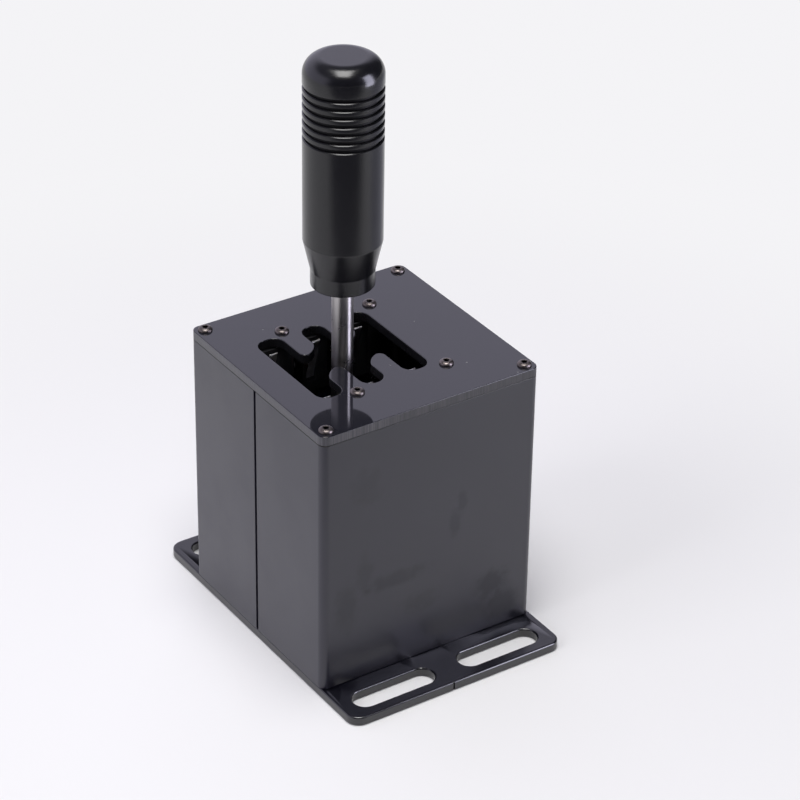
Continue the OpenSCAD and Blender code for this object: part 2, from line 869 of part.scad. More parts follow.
module spring_seats() {
  color("#202024") for (s = [-1, 1]) translate([gate_x + s * spring_x, 0, base_t]) {
    translate([0, 0, -seat_root_l]) cylinder(d = seat_root_d, h = seat_root_l + seat_t / 2);
    cylinder(d = seat_d, h = seat_t);
    cylinder(d = seat_peg_d, h = seat_t + seat_peg_h);
  }
}

// Electronics

// Draws its children at the board's four holes, on the board's wall side
module at_board_holes() {
  across = board_w / 2 - board_hole;
  rise = board_h - 2 * board_hole;
  for (sx = [-1, 1], sz = [0, 1]) {
    translate([board_x + sx * across, board_y, board_z + board_hole + sz * rise]) children();
  }
}

module controller_board() {
  color("#16203c") difference() {
    translate([board_x - board_w / 2, board_y - board_t, board_z]) cube([board_w, board_t, board_h]);
    at_board_holes() rod_y(small_screw_d + 2 * screw_play, 2 * board_t + 2 * cut);
  }
}

module controller_chip() {
  side = 7;
  thick = 1;
  low = board_z + board_h / 2 - side / 2 - thick;
  color("#111114") translate([board_x - side / 2, board_y - board_t - thick, low]) {
    cube([side, thick, side]);
  }
}

module board_pins() {
  thick = 0.64;
  inset = 2;
  first = board_x - (pin_n - 1) / 2 * pin_pitch;
  color("#d8c48a") for (i = [0:pin_n - 1]) {
    translate([first + i * pin_pitch, board_y - board_t - pin_reach / 2, board_z + board_h - inset]) {
      cube([thick, pin_reach, thick], center = true);
    }
  }
}

module board_standoffs() {
  color("#c8c4b8") at_board_holes() rotate([-90, 0, 0]) {
    tube(2 * board_hole, small_screw_d + 2 * screw_play, standoff_l);
  }
}

module board_screws() {
  color("#8c8c90") at_board_holes() translate([0, -board_t, 0]) rotate([90, 0, 0]) {
    button_screw(small_screw_d, small_head_d, small_head_h, board_t + standoff_l - short);
  }
}

module data_socket() {
  color("#b4b4ba") translate([socket_x, inner_y, base_t + socket_z]) {
    difference() {
      union() {
        translate([-socket_w / 2, -socket_depth, -socket_h / 2]) {
          cube([socket_w, socket_depth + wall_t, socket_h]);
        }
        translate([-socket_flange_w / 2, -socket_flange_t, -socket_flange_h / 2]) {
          cube([socket_flange_w, socket_flange_t, socket_flange_h]);
        }
      }
      translate([-socket_mouth_w / 2, wall_t - socket_mouth_depth, -socket_mouth_h / 2]) {
        cube([socket_mouth_w, socket_mouth_depth + cut, socket_mouth_h]);
      }
      for (s = [-1, 1]) translate([s * socket_screw_x, -socket_flange_t / 2, 0]) {
        rod_y(screw_d + 2 * screw_play, socket_flange_t + 2 * cut);
      }
    }
    translate([-socket_key_w / 2, wall_t - socket_mouth_depth - socket_key_gap, -socket_key_h / 2]) {
      cube([socket_key_w, socket_mouth_depth, socket_key_h]);
    }
  }
}

module data_socket_screws() {
  color("#6a686c") for (s = [-1, 1]) {
    translate([socket_x + s * socket_screw_x, case_d / 2, base_t + socket_z]) rotate([-90, 0, 0]) {
      button_screw(screw_d, head_d, head_h, wall_t + socket_flange_t + screw_d);
    }
  }
}

// A round wire through a list of points; the runs end inside a slightly fuller ball at each bend
module wire(points, d) {
  for (i = [0:len(points) - 2]) {
    run = points[i + 1] - points[i];
    turn = [0, acos(run.z / norm(run)), atan2(run.y, run.x)];
    translate(points[i]) rotate(turn) cylinder(d = d, h = norm(run));
    if (i > 0) translate(points[i]) sphere(d = d + 2 * bend_swell);
  }
}

// The lead from the top of the data socket to the board's lower edge
module data_lead() {
  x = min(socket_x, board_x + board_w / 2 - loom_d);
  y = board_y - board_t / 2;
  from = base_t + socket_z + socket_h / 2;
  color("#1a1a1c") wire([[x, y, from], [x, y, board_z - seat_play]], lead_d);
}

// The front switches' wires run round the left wall to the board's left edge
module front_loom() {
  start_x = column_x[2];
  wall_x = -port_x + port_r + loom_d;
  y = board_y - board_t / 2;
  z = board_z + board_h / 2;
  color("#26262a") wire([
    [start_x, -loom_y, loom_z], [wall_x, -loom_y, loom_z], [wall_x, -loom_y, z],
    [wall_x, y, z], [board_x - board_w / 2 - seat_play, y, z]
  ], loom_d);
}

// The rear switches' wires drop to the board's right edge
module rear_loom() {
  right_x = max(column_x[2], board_x + board_w / 2) + 2 * loom_d;
  y = board_y - board_t / 2;
  z = board_z + board_h / 2;
  color("#26262a") wire([
    [column_x[0], loom_y, loom_z], [right_x, loom_y, loom_z], [right_x, loom_y, z],
    [right_x, y, z],
    [board_x + board_w / 2 + seat_play, y, z]
  ], loom_d);
}

base_plate();
front_shell();
rear_shell();
top_plate();
cover_screws();
switch_bar_screws();
base_screws();
switch_bar(-1);  // front_switch_bar
switch_bar(1);  // rear_switch_bar
microswitch(1);  // microswitch_1
microswitch(2);  // microswitch_2
microswitch(3);  // microswitch_3
microswitch(4);  // microswitch_4
microswitch(5);  // microswitch_5
microswitch(6);  // microswitch_6
switch_blade(1);  // switch_blade_1
switch_blade(2);  // switch_blade_2
switch_blade(3);  // switch_blade_3
switch_blade(4);  // switch_blade_4
switch_blade(5);  // switch_blade_5
switch_blade(6);  // switch_blade_6
switch_plungers();
switch_terminals();
switch_screws();
pivot_bracket(-1);  // front_pivot_bracket
pivot_bracket(1);  // rear_pivot_bracket
bracket_screws();
pivot_bushes();
spring_seats();
spring(-spring_x);  // select_spring_left
spring(spring_x);  // select_spring_right
controller_board();
controller_chip();
board_pins();
board_standoffs();
board_screws();
data_socket();
data_socket_screws();
data_lead();
front_loom();
rear_loom();
gimbal_ring();
trunnion_pins();
retaining_clips();
cross_bolt();
cross_nut();
side_washers();
lever_hub();
hub_bush();
lever_shaft();
shaft_lock_nut();
knob();
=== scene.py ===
# %% [markdown]
# # A six-position gear shifter, dressed for its portrait
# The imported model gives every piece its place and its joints. This lesson keeps that frame, puts a
# camera where the photograph was taken, builds a small studio, and then dresses one piece after
# another: black coated plates, a turned knob, a ground steel lever and the workings under the gate.

# %% Load the frame
import math

import bmesh
import bpy
from mathutils import Matrix, Vector


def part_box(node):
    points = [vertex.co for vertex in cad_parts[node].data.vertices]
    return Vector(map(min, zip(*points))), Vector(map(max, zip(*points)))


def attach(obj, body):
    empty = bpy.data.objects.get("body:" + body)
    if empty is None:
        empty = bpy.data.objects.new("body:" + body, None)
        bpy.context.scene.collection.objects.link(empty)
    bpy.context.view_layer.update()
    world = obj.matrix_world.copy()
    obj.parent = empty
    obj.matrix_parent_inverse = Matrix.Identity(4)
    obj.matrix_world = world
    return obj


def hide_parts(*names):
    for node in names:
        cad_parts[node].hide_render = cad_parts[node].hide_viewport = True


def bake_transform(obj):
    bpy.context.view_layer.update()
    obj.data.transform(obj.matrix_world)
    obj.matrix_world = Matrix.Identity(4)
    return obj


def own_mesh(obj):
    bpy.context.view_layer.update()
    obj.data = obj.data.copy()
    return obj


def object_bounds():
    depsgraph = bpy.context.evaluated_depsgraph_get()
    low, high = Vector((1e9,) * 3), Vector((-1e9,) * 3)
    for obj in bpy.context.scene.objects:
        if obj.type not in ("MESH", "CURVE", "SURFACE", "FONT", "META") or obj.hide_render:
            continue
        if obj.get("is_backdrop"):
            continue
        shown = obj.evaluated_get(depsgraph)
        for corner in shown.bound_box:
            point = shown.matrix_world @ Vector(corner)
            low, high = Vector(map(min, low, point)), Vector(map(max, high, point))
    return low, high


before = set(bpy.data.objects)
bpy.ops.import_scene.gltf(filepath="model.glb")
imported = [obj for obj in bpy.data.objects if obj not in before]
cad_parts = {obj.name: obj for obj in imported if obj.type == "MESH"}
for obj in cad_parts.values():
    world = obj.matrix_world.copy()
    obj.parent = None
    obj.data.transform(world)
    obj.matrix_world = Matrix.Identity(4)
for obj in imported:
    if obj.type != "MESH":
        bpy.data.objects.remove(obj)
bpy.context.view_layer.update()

MM = 0.001
scene = bpy.context.scene

# %% [markdown]
# ## Camera
# The photograph was matched on the edges of the case: the camera stands to the front left, looks
# down by about 31 degrees and uses a long lens, so upright edges stay almost parallel. The camera's
# axes are worked out from those three angles rather than aimed by a constraint, because a constraint
# would lose the slight roll.

# %% Camera at the photograph's angle
VIEW_AZIMUTH = math.radians(-34.0)
VIEW_ELEVATION = math.radians(31.36)
VIEW_ROLL = math.radians(0.94)
VIEW_DISTANCE = 1.2595
VIEW_SLIDE = (-0.0160, -0.0822)
SENSOR = 36.0
FOCAL_PIXELS = 3053.0
PHOTO_PIXELS = 800.0

back = Vector((
    math.sin(VIEW_AZIMUTH) * math.cos(VIEW_ELEVATION),
    -math.cos(VIEW_AZIMUTH) * math.cos(VIEW_ELEVATION),
    math.sin(VIEW_ELEVATION),
))
level_right = Vector((math.cos(VIEW_AZIMUTH), math.sin(VIEW_AZIMUTH), 0))
level_up = back.cross(level_right)
right = level_right * math.cos(VIEW_ROLL) + level_up * math.sin(VIEW_ROLL)
up = level_up * math.cos(VIEW_ROLL) - level_right * math.sin(VIEW_ROLL)
place = back * VIEW_DISTANCE - right * VIEW_SLIDE[0] - up * VIEW_SLIDE[1]

lens = bpy.data.cameras.new("portrait_lens")
lens.sensor_fit = "HORIZONTAL"
lens.sensor_width = SENSOR
lens.lens = FOCAL_PIXELS * SENSOR / PHOTO_PIXELS
camera = bpy.data.objects.new("portrait_camera", lens)
scene.collection.objects.link(camera)
camera.matrix_world = Matrix.Translation(place) @ Matrix((right, up, back)).transposed().to_4x4()
scene.camera = camera
print("camera:", round(lens.lens, 1), "mm lens at", [round(v, 3) for v in place])

# %% [markdown]
# ## Studio
# Black gloss shows what stands around it, so the surroundings matter more than the lamps. The real
# shot has a pale table, a white backdrop behind, a dim room on the camera's side, a soft lamp
# overhead, a fill from the left and a tall window to the front right. Each of these is placed where
# the knob's highlights say it stands. The far table is one even pale tone for the camera and in
# mirrors, and the near table is lit, so that it keeps the object's shadow. Two dark cloths that only
# mirrors see stand for the room, because a darker world would also take light from the table.

# %% Short calls for nodes
scene.view_settings.view_transform = "Standard"


def link(tree, start, end):
    tree.links.new(start, end)


def feed(tree, socket, value):
    """Links a socket to another one, or sets its value."""
    if isinstance(value, bpy.types.NodeSocket):
        link(tree, value, socket)
    else:
        socket.default_value = value


def feed_all(tree, node, inputs):
    """Links or sets a node's inputs by name, with _ for a space."""
    for label, value in inputs.items():
        feed(tree, node.inputs[label.replace("_", " ")], value)


def step(tree, kind, **inputs):
    """A node of a tree with its inputs linked or set; a short kind is a Geometry Node."""
    node = tree.nodes.new(kind if kind.startswith(("Shader", "Function")) else "GeometryNode" + kind)
    feed_all(tree, node, inputs)
    return node


def sheet(name, corners, **inputs):
    """A flat four-sided stage piece, with the tree and the shader of its paint."""
    mesh = bpy.data.meshes.new(name)
    mesh.from_pydata(corners, [], [(0, 1, 2, 3)])
    thing = bpy.data.objects.new(name, mesh)
    scene.collection.objects.link(thing)
    paint = bpy.data.materials.new(name)
    paint.use_nodes = True
    mesh.materials.append(paint)
    thing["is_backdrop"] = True
    shader = paint.node_tree.nodes["Principled BSDF"]
    feed_all(paint.node_tree, shader, inputs)
    return thing, paint.node_tree, shader


def stage_range(tree, value, start, stop, low=0.0, high=1.0):
    """A smooth step from low to high while the value goes from start to stop."""
    node = step(
        tree, "ShaderNodeMapRange", Value=value, From_Min=start, From_Max=stop, To_Min=low, To_Max=high)
    node.interpolation_type = "SMOOTHSTEP"
    return node.outputs["Result"]


def worked_out(tree, kind, operation, values):
    """The outputs of a node that does one operation on its values."""
    node = tree.nodes.new(kind)
    node.operation = operation
    for socket, value in zip(node.inputs, values):
        feed(tree, socket, value)
    return node.outputs


def stage_math(tree, operation, *values):
    """The result of one operation on numbers."""
    return worked_out(tree, "ShaderNodeMath", operation, values)[0]


def vector_math(tree, operation, *values):
    """The result of one operation on vectors; a length or a dot product is a number."""
    result = "Value" if operation in ("LENGTH", "DOT_PRODUCT") else "Vector"
    return worked_out(tree, "ShaderNodeVectorMath", operation, values)[result]


def colour_mix(tree, factor, first, second):
    """Goes from the first colour to the second as the factor goes from 0 to 1."""
    node = tree.nodes.new("ShaderNodeMix")
    node.data_type = "RGBA"
    feed_all(tree, node, {"Factor": factor, "A": first, "B": second})
    return node.outputs["Result"]


print("nodes: short calls are ready")

# %% Table
FLOOR_HALF = 4.0
LIT_OUT, EVEN_FROM = 0.12, 0.40
SQUARE = ((-1, -1), (1, -1), (1, 1), (-1, 1))
tree, lit = sheet(
    "studio_table", [(x * FLOOR_HALF, y * FLOOR_HALF, 0) for x, y in SQUARE],
    Base_Color=(0.83, 0.828, 0.842, 1), Roughness=0.6, Specular_IOR_Level=0.1)[1:]
even = step(tree, "ShaderNodeEmission", Color=(0.905, 0.90, 0.922, 1))
rays = tree.nodes.new("ShaderNodeLightPath").outputs
apart = vector_math(tree, "LENGTH", tree.nodes.new("ShaderNodeTexCoord").outputs["Object"])
plain = stage_math(tree, "MAXIMUM", rays["Is Glossy Ray"], rays["Is Transmission Ray"])
plain = stage_math(tree, "MAXIMUM", rays["Is Camera Ray"], plain)
share = stage_math(tree, "MULTIPLY", plain, stage_range(tree, apart, LIT_OUT, EVEN_FROM))
blend = tree.nodes.new("ShaderNodeMixShader")
for socket, value in zip(blend.inputs, (share, lit.outputs[0], even.outputs[0])):
    link(tree, value, socket)
link(tree, blend.outputs[0], tree.nodes["Material Output"].inputs["Surface"])
print("table:", 2 * FLOOR_HALF, "m wide")

# %% The dim room in front of the table and to its right
CLOTH_Z = 0.002
CLOTH_FADE = 0.1


def dim_cloth(name, azimuth, near, far, wide, spread, most, colour):
    """A dark sheet on the table that only mirrors see, from near to far at a compass angle.

    It fades in behind its near edge and, by the spread's two ratios, from its sides to its middle.
    """
    a = math.radians(azimuth)
    way = Vector((math.sin(a), -math.cos(a), 0))
    side = Vector((-way.y, way.x, 0))
    corners = ((near, -wide), (near, wide), (far, 2 * wide), (far, -2 * wide))
    cloth, tree, weave = sheet(
        name, [tuple(way * d + side * s + Vector((0, 0, CLOTH_Z))) for d, s in corners],
        Base_Color=(*colour, 1), Roughness=0.9)
    spot = tree.nodes.new("ShaderNodeTexCoord").outputs["Object"]
    across, along = [vector_math(tree, "DOT_PRODUCT", spot, axis) for axis in (side, way)]
    ratio = stage_math(tree, "DIVIDE", stage_math(tree, "ABSOLUTE", across), along)
    fade = stage_range(tree, along, near, near + CLOTH_FADE, high=most)
    link(tree, stage_math(tree, "MULTIPLY", stage_range(tree, ratio, *spread), fade), weave.inputs["Alpha"])
    for rays_off in ("visible_camera", "visible_diffuse", "visible_shadow", "visible_transmission"):
        setattr(cloth, rays_off, False)


dim_cloth("studio_cloth", -25, 0.21, 2.6, 1.3, (1.5, 0.5), 1.0, (0.125, 0.125, 0.14))
dim_cloth("studio_side_cloth", 80, 0.20, 1.6, 0.9, (0.9, 0.3), 0.45, (0.04, 0.05, 0.24))
print("cloths: one in front and a thinner one at the right")

# %% World
BACKDROP_WAY = (-0.42, 0.86, 0.1)
ROOM, BACKDROP, SEEN = (0.055, 0.055, 0.065, 1), (0.98, 0.95, 1.16, 1), (0.95, 0.95, 0.965, 1)
world = bpy.data.worlds.new("studio")
scene.world = world
world.use_nodes = True
tree = world.node_tree
tree.nodes.clear()
way = tree.nodes.new("ShaderNodeTexCoord").outputs["Generated"]
high_up = step(tree, "ShaderNodeSeparateXYZ", Vector=way).outputs["Z"]
towards = stage_range(tree, vector_math(tree, "DOT_PRODUCT", way, BACKDROP_WAY), 0.02, 0.46)
ceiling = stage_math(tree, "MAXIMUM", stage_range(tree, high_up, 0.78, 0.48), 0.1)
room = colour_mix(tree, stage_math(tree, "MULTIPLY", towards, ceiling), ROOM, BACKDROP)
seen = colour_mix(tree, tree.nodes.new("ShaderNodeLightPath").outputs["Is Camera Ray"], room, SEEN)
glow = step(tree, "ShaderNodeBackground", Color=seen)
step(tree, "ShaderNodeOutputWorld", Surface=glow.outputs[0])
print("world: a white backdrop behind and a dim room in front")


# %% Lamps
def soft_lamp(name, azimuth, elevation, distance, middle, size, watts, tint):
    """An area lamp that the camera doesn't see, at two angles and a distance from a point above the table."""
    lamp = bpy.data.lights.new(name, "AREA")
    lamp.shape = "RECTANGLE"
    lamp.size, lamp.size_y = size
    lamp.energy = watts
    lamp.color = tint
    holder = bpy.data.objects.new(name, lamp)
    a, e = math.radians(azimuth), math.radians(elevation)
    out = Vector((math.sin(a) * math.cos(e), -math.cos(a) * math.cos(e), math.sin(e)))
    facing = out.to_track_quat("Z", "Y").to_matrix().to_4x4()
    holder.matrix_world = Matrix.Translation(out * distance + Vector((0, 0, middle))) @ facing
    holder.visible_camera = False
    scene.collection.objects.link(holder)
    return holder


soft_lamp("overhead_lamp", -34, 81, 1.5, 0.15, (0.70, 1.05), 23, (1, 0.99, 0.98))
window = soft_lamp("window", 41, 0, 0.70, 0.37, (0.32, 0.74), 5.8, (0.94, 0.93, 1.15))
window.visible_diffuse = False
fill = soft_lamp("fill_lamp", -92, 36, 1.6, 0.10, (0.75, 0.85), 5.8, (1, 0.99, 0.98))
fill.visible_glossy = False
print("lamps: overhead, a window for the highlights and a fill")

# %% [markdown]
# ## Effects that several finishes share
# Handled black metal is never one flat tone: the coat's gloss wanders, tools leave fine parallel
# lines, fingers leave darker patches and dust settles on flat tops. Two groups also paint light: a
# dark line of painted shade where two pieces meet, and a ragged patch that serves for finger marks
# and for a patch of painted sheen. Each effect is one node group with named inputs, so that every
# finish can use it with its own values. A painted picture would give the same look, but it would not
# follow the sizes of the part.

# %% Shader groups
NUMBER, ARROW = "NodeSocketFloat", "NodeSocketVector"


def effect(name, output, **inputs):
    """A shader node group with a place, its named inputs and one value out, ready to be filled."""
    tree = bpy.data.node_groups.new(name, "ShaderNodeTree")
    tree.interface.new_socket("Vector", in_out="INPUT", socket_type=ARROW)
    for label, value in inputs.items():
        kind = ARROW if isinstance(value, tuple) else NUMBER
        tree.interface.new_socket(label, in_out="INPUT", socket_type=kind).default_value = value
    tree.interface.new_socket(output, in_out="OUTPUT", socket_type=NUMBER)
    ends = tree.nodes.new("NodeGroupInput"), tree.nodes.new("NodeGroupOutput")
    return tree, ends[0].outputs, ends[1].inputs[output]


# Slow wandering of a value over the surface
wander, put, get = effect("gloss_wander", "Value", Scale=40.0, Low=0.1, High=0.2)
cloud = step(
    wander, "ShaderNodeTexNoise", Vector=put["Vector"], Scale=put["Scale"], Detail=4.0, Roughness=0.6)
link(wander, stage_range(wander, cloud.outputs["Fac"], 0.3, 0.7, put["Low"], put["High"]), get)

# Fine parallel lines: noise squeezed along the directions that Stretch makes large
tool_lines, put, get = effect("tool_lines", "Height", Stretch=(0, 0, 2000))
squeezed = vector_math(tool_lines, "MULTIPLY", put["Vector"], put["Stretch"])
grain = step(tool_lines, "ShaderNodeTexNoise", Vector=squeezed, Scale=1.0, Detail=2.0)
link(tool_lines, grain.outputs["Fac"], get)

# One ragged patch: a finger or cloth mark on the shell, and a patch of painted sheen on the top plate's edge
smudge_and_sheen_patch, put, get = effect("smudge_and_sheen_patch", "Mask", Centre=(0, 0, 0), Reach=(1, 1, 1), Ragged=0.8)
off = vector_math(smudge_and_sheen_patch, "SUBTRACT", put["Vector"], put["Centre"])
apart = vector_math(smudge_and_sheen_patch, "LENGTH", vector_math(smudge_and_sheen_patch, "DIVIDE", off, put["Reach"]))
tatter = step(smudge_and_sheen_patch, "ShaderNodeTexNoise", Vector=put["Vector"], Scale=240.0, Detail=6.0)
lift = stage_math(smudge_and_sheen_patch, "MULTIPLY_ADD", tatter.outputs["Fac"], put["Ragged"], apart)
link(smudge_and_sheen_patch, stage_range(smudge_and_sheen_patch, lift, 1.36, 0.68), get)

# Sparse specks of dust, seen from above: only a share of the cells of a cell pattern carries one
dust_specks, put, get = effect("dust_specks", "Mask", Scale=70.0, Share=0.2, Size=0.03)
cells = step(dust_specks, "ShaderNodeTexVoronoi", Vector=put["Vector"], Scale=put["Scale"])
cells.voronoi_dimensions = "2D"
tone = step(dust_specks, "ShaderNodeSeparateColor", Color=cells.outputs["Color"])
near = stage_math(dust_specks, "LESS_THAN", cells.outputs["Distance"], put["Size"])
chosen = stage_math(dust_specks, "LESS_THAN", tone.outputs["Red"], put["Share"])
link(dust_specks, stage_math(dust_specks, "MULTIPLY", near, chosen), get)

# A dark line of painted shade where two pieces meet, between two heights
seam_shade, put, get = effect("seam_shade", "Mask", Low=0.0, High=0.001)
high_up = step(seam_shade, "ShaderNodeSeparateXYZ", Vector=put["Vector"]).outputs["Z"]
above = stage_math(seam_shade, "GREATER_THAN", high_up, put["Low"])
below = stage_math(seam_shade, "LESS_THAN", high_up, put["High"])
link(seam_shade, stage_math(seam_shade, "MULTIPLY", above, below), get)
print("effects:", wander.name, tool_lines.name, smudge_and_sheen_patch.name, dust_specks.name, seam_shade.name)

# %% [markdown]
# ## Finishes
# Every finish is one Principled shader fed by those groups. The black coats differ in gloss: the top
# plate mirrors the knob sharply, the drawn shells are satin, the knob is turned and anodised. Metal
# pieces read their tool lines along the direction in which they were cut.

# %% A finish and its parts
class Finish:
    """A material with its Principled shader, its Object coordinates and short calls for each effect."""

    def __init__(self, name, colour, rough, metal=0.0):
        self.material = bpy.data.materials.new(name)
        self.material.use_nodes = True
        self.tree = self.material.node_tree
        self.shader = self.tree.nodes["Principled BSDF"]
        self.coords = self.tree.nodes.new("ShaderNodeTexCoord").outputs["Object"]
        self.colour = (*colour, 1)
        self.rough = rough
        self.give(Base_Color=self.colour, Roughness=rough, Metallic=metal)

    def give(self, **inputs):
        """Links or sets inputs of the shader."""
        feed_all(self.tree, self.shader, inputs)

    def effect(self, group, **values):
        node = self.tree.nodes.new("ShaderNodeGroup")
        node.node_tree = group
        feed_all(self.tree, node, {"Vector": self.coords, **values})
        return node.outputs[0]

    def math(self, operation, *values):
        return stage_math(self.tree, operation, *values)

    def tint(self, mask, colour):
        """Mixes a colour over the base colour where the mask is 1."""
        self.colour = colour_mix(self.tree, mask, self.colour, (*colour, 1))
        self.give(Base_Color=self.colour)

    def gloss(self, value):
        self.rough = value
        self.give(Roughness=value)

    def gloss_where(self, mask, rough):
        """Moves the roughness towards a value where the mask is 1."""
        self.gloss(step(self.tree, "ShaderNodeMix", Factor=mask, A=self.rough, B=rough).outputs["Result"])

    def bump(self, height, strength, depth):
        node = step(self.tree, "ShaderNodeBump", Strength=strength, Distance=depth, Height=height)
        self.give(Normal=node.outputs[0])

    def upright(self):
        """1 on upright faces and 0 on level ones."""
        face = self.tree.nodes.new("ShaderNodeNewGeometry")
        parts = step(self.tree, "ShaderNodeSeparateXYZ", Vector=face.outputs["Normal"])
        return self.math("LESS_THAN", self.math("ABSOLUTE", parts.outputs["Z"]), 0.5)

    def marked(self, name):
        """The value of a mark that the mesh itself carries, such as the inside of a screw's socket."""
        node = self.tree.nodes.new("ShaderNodeAttribute")
        node.attribute_name = name
        return node.outputs["Fac"]


def plain_finish(name, colour, rough, metal, gloss, lines=None, patches=None):
    """A finish whose gloss wanders, perhaps with tool lines or with patches of a second colour.

    The gloss is given as scale, low and high, the lines as stretch, strength and depth, and the
    patches as scale, largest share and colour.
    """
    finish = Finish(name, colour, rough, metal)
    scale, low, high = gloss
    finish.gloss(finish.effect(wander, Scale=scale, Low=low, High=high))
    if patches:
        scale, most, second = patches
        finish.tint(finish.effect(wander, Scale=scale, Low=0.0, High=most), second)
    if lines:
        stretch, strength, depth = lines
        finish.bump(finish.effect(tool_lines, Stretch=stretch), strength, depth)
    return finish


print("finish: ready")

# %% The black coats
COAT_IOR = 1.60
TOP_IOR = 1.54
BASE_IOR = 1.72
SEAM_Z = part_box("top_plate")[0].z
SEAM_HALF = 0.3 * MM
SEAM = {"Low": SEAM_Z - SEAM_HALF, "High": SEAM_Z + SEAM_HALF}
# The near-black colour of the painted shade along the joint of the top plate and the shells
SEAM_SHADE = (0.002, 0.002, 0.002)
top_coat = plain_finish("top_plate_coat", (0.0145, 0.0144, 0.0200), 0.08, 0.0, (55, 0.03, 0.055))
top_coat.give(IOR=TOP_IOR)
cut_face = top_coat.upright()
specks = top_coat.math(
    "MULTIPLY", top_coat.math("SUBTRACT", 1.0, cut_face),
    top_coat.effect(dust_specks, Scale=75.0, Share=0.14, Size=0.026))
top_coat.tint(specks, (0.13, 0.13, 0.14))
top_coat.gloss_where(specks, 0.7)
sawn = top_coat.math("MULTIPLY", cut_face, top_coat.effect(tool_lines, Stretch=(1500, 1500, 0)))
top_coat.tint(sawn, (0.085, 0.083, 0.098))
# Painted sheen: the tool lines on the front edge are lighter near the front-left corner
corner_sheen = top_coat.effect(
    smudge_and_sheen_patch, Centre=(-34 * MM, -49 * MM, 118.5 * MM), Reach=(17 * MM, 5 * MM, 6 * MM), Ragged=0.3)
cuts = stage_range(top_coat.tree, top_coat.effect(tool_lines, Stretch=(2600, 2600, 0)), 0.40, 0.66)
corner_sheen = top_coat.math("MULTIPLY", corner_sheen, top_coat.math("MULTIPLY", cuts, cut_face))
top_coat.tint(corner_sheen, (0.105, 0.102, 0.120))
top_coat.gloss_where(cut_face, 0.34)
# Painted shade along the plate's lower edge, where it meets the shells
top_coat.tint(top_coat.effect(seam_shade, **SEAM), SEAM_SHADE)
top_coat.bump(sawn, 0.45, 0.00015)

# The cut edges inside the gate get a darker coat than the top: painted shade where little light reaches
gate_shade_coat = plain_finish(
    "gate_edge_shade_coat", (0.0075, 0.0075, 0.009), 0.3, 0.0, (200, 0.24, 0.40), ((1500, 1500, 40), 0.2, 0.0001))

# Finger marks on the front face: place and reach across and up in mm, raggedness, strength
MARKS = (
    ((29.7, 25.4), (7.5, 6.5), 0.75, 0.75),
    ((35.5, 13.9), (6.5, 5.5), 0.55, 0.75),
    ((11.6, 61.5), (2.4, 5.5), 0.70, 0.5),
    ((14.9, 70.0), (2.2, 5.5), 0.80, 0.5),
    ((-15.4, 45.0), (13.0, 3.6), 0.85, 0.5),
    ((-38.6, 39.5), (5.0, 10.0), 0.80, 0.4),
    ((-30.4, 52.0), (4.0, 9.5), 0.95, 0.35),
    ((-29.9, 92.5), (7.0, 8.0), 0.90, 0.35),
    ((-4.0, 30.0), (9.0, 5.0), 1.0, 0.4),
)
FRONT_FACE = -49.0
MARK_DEPTH = 4.0
MARK_SPREAD = 1.6
shell_coat = plain_finish(
    "shell_coat", (0.0160, 0.0154, 0.0280), 0.3, 0.0, (28, 0.29, 0.37), ((900, 900, 12), 0.08, 0.00006))
shell_coat.give(IOR=COAT_IOR)
for (across_at, high_at), (across_reach, high_reach), ragged, strength in MARKS:
    mark = shell_coat.effect(
        smudge_and_sheen_patch, Centre=(across_at * MM, FRONT_FACE * MM, high_at * MM),
        Reach=(MARK_SPREAD * across_reach * MM, MARK_DEPTH * MM, MARK_SPREAD * high_reach * MM), Ragged=ragged)
    worn = shell_coat.math("MULTIPLY", mark, strength)
    shell_coat.tint(worn, (0.003, 0.003, 0.004))
    shell_coat.gloss_where(worn, 0.8)
# Painted shade along the shells' top edge, where the plate sits
shell_coat.tint(shell_coat.effect(seam_shade, **SEAM), SEAM_SHADE)

base_coat = plain_finish(
    "base_plate_coat", (0.0034, 0.0034, 0.0068), 0.22, 0.0, (45, 0.17, 0.26),
    ((700, 700, 700), 0.05, 0.00008))
base_coat.give(IOR=BASE_IOR)
grit = base_coat.math(
    "MULTIPLY", base_coat.math("SUBTRACT", 1.0, base_coat.upright()),
    base_coat.effect(dust_specks, Scale=110.0, Share=0.12, Size=0.03))
base_coat.tint(grit, (0.16, 0.16, 0.18))

TURNED = ((60, 60, 4200), 0.05, 0.00005)
knob_coat = plain_finish("knob_coat", (0.0050, 0.0050, 0.0072), 0.22, 0.0, (60, 0.20, 0.245), TURNED)
# The grooves get a darker, duller coat: painted shade in the grooves
groove_shade_coat = plain_finish("groove_shade_coat", (0.0045, 0.0045, 0.0055), 0.5, 0.0, (90, 0.44, 0.58), TURNED)
groove_shade_coat.give(Specular_IOR_Level=0.2)
print("coats:", len(MARKS), "finger marks on the shell")

# %% The metals
lever_steel = plain_finish(
    "lever_steel", (0.54, 0.52, 0.515), 0.3, 1.0, (120, 0.27, 0.33), ((40, 40, 3200), 0.05, 0.00003))
lever_steel.give(Anisotropic=0.85, Anisotropic_Rotation=0.25)
screw_steel = plain_finish(
    "screw_steel", (0.185, 0.162, 0.156), 0.40, 1.0, (500, 0.32, 0.46),
    ((2600, 2600, 2600), 0.08, 0.00004), (260, 0.7, (0.095, 0.080, 0.077)))
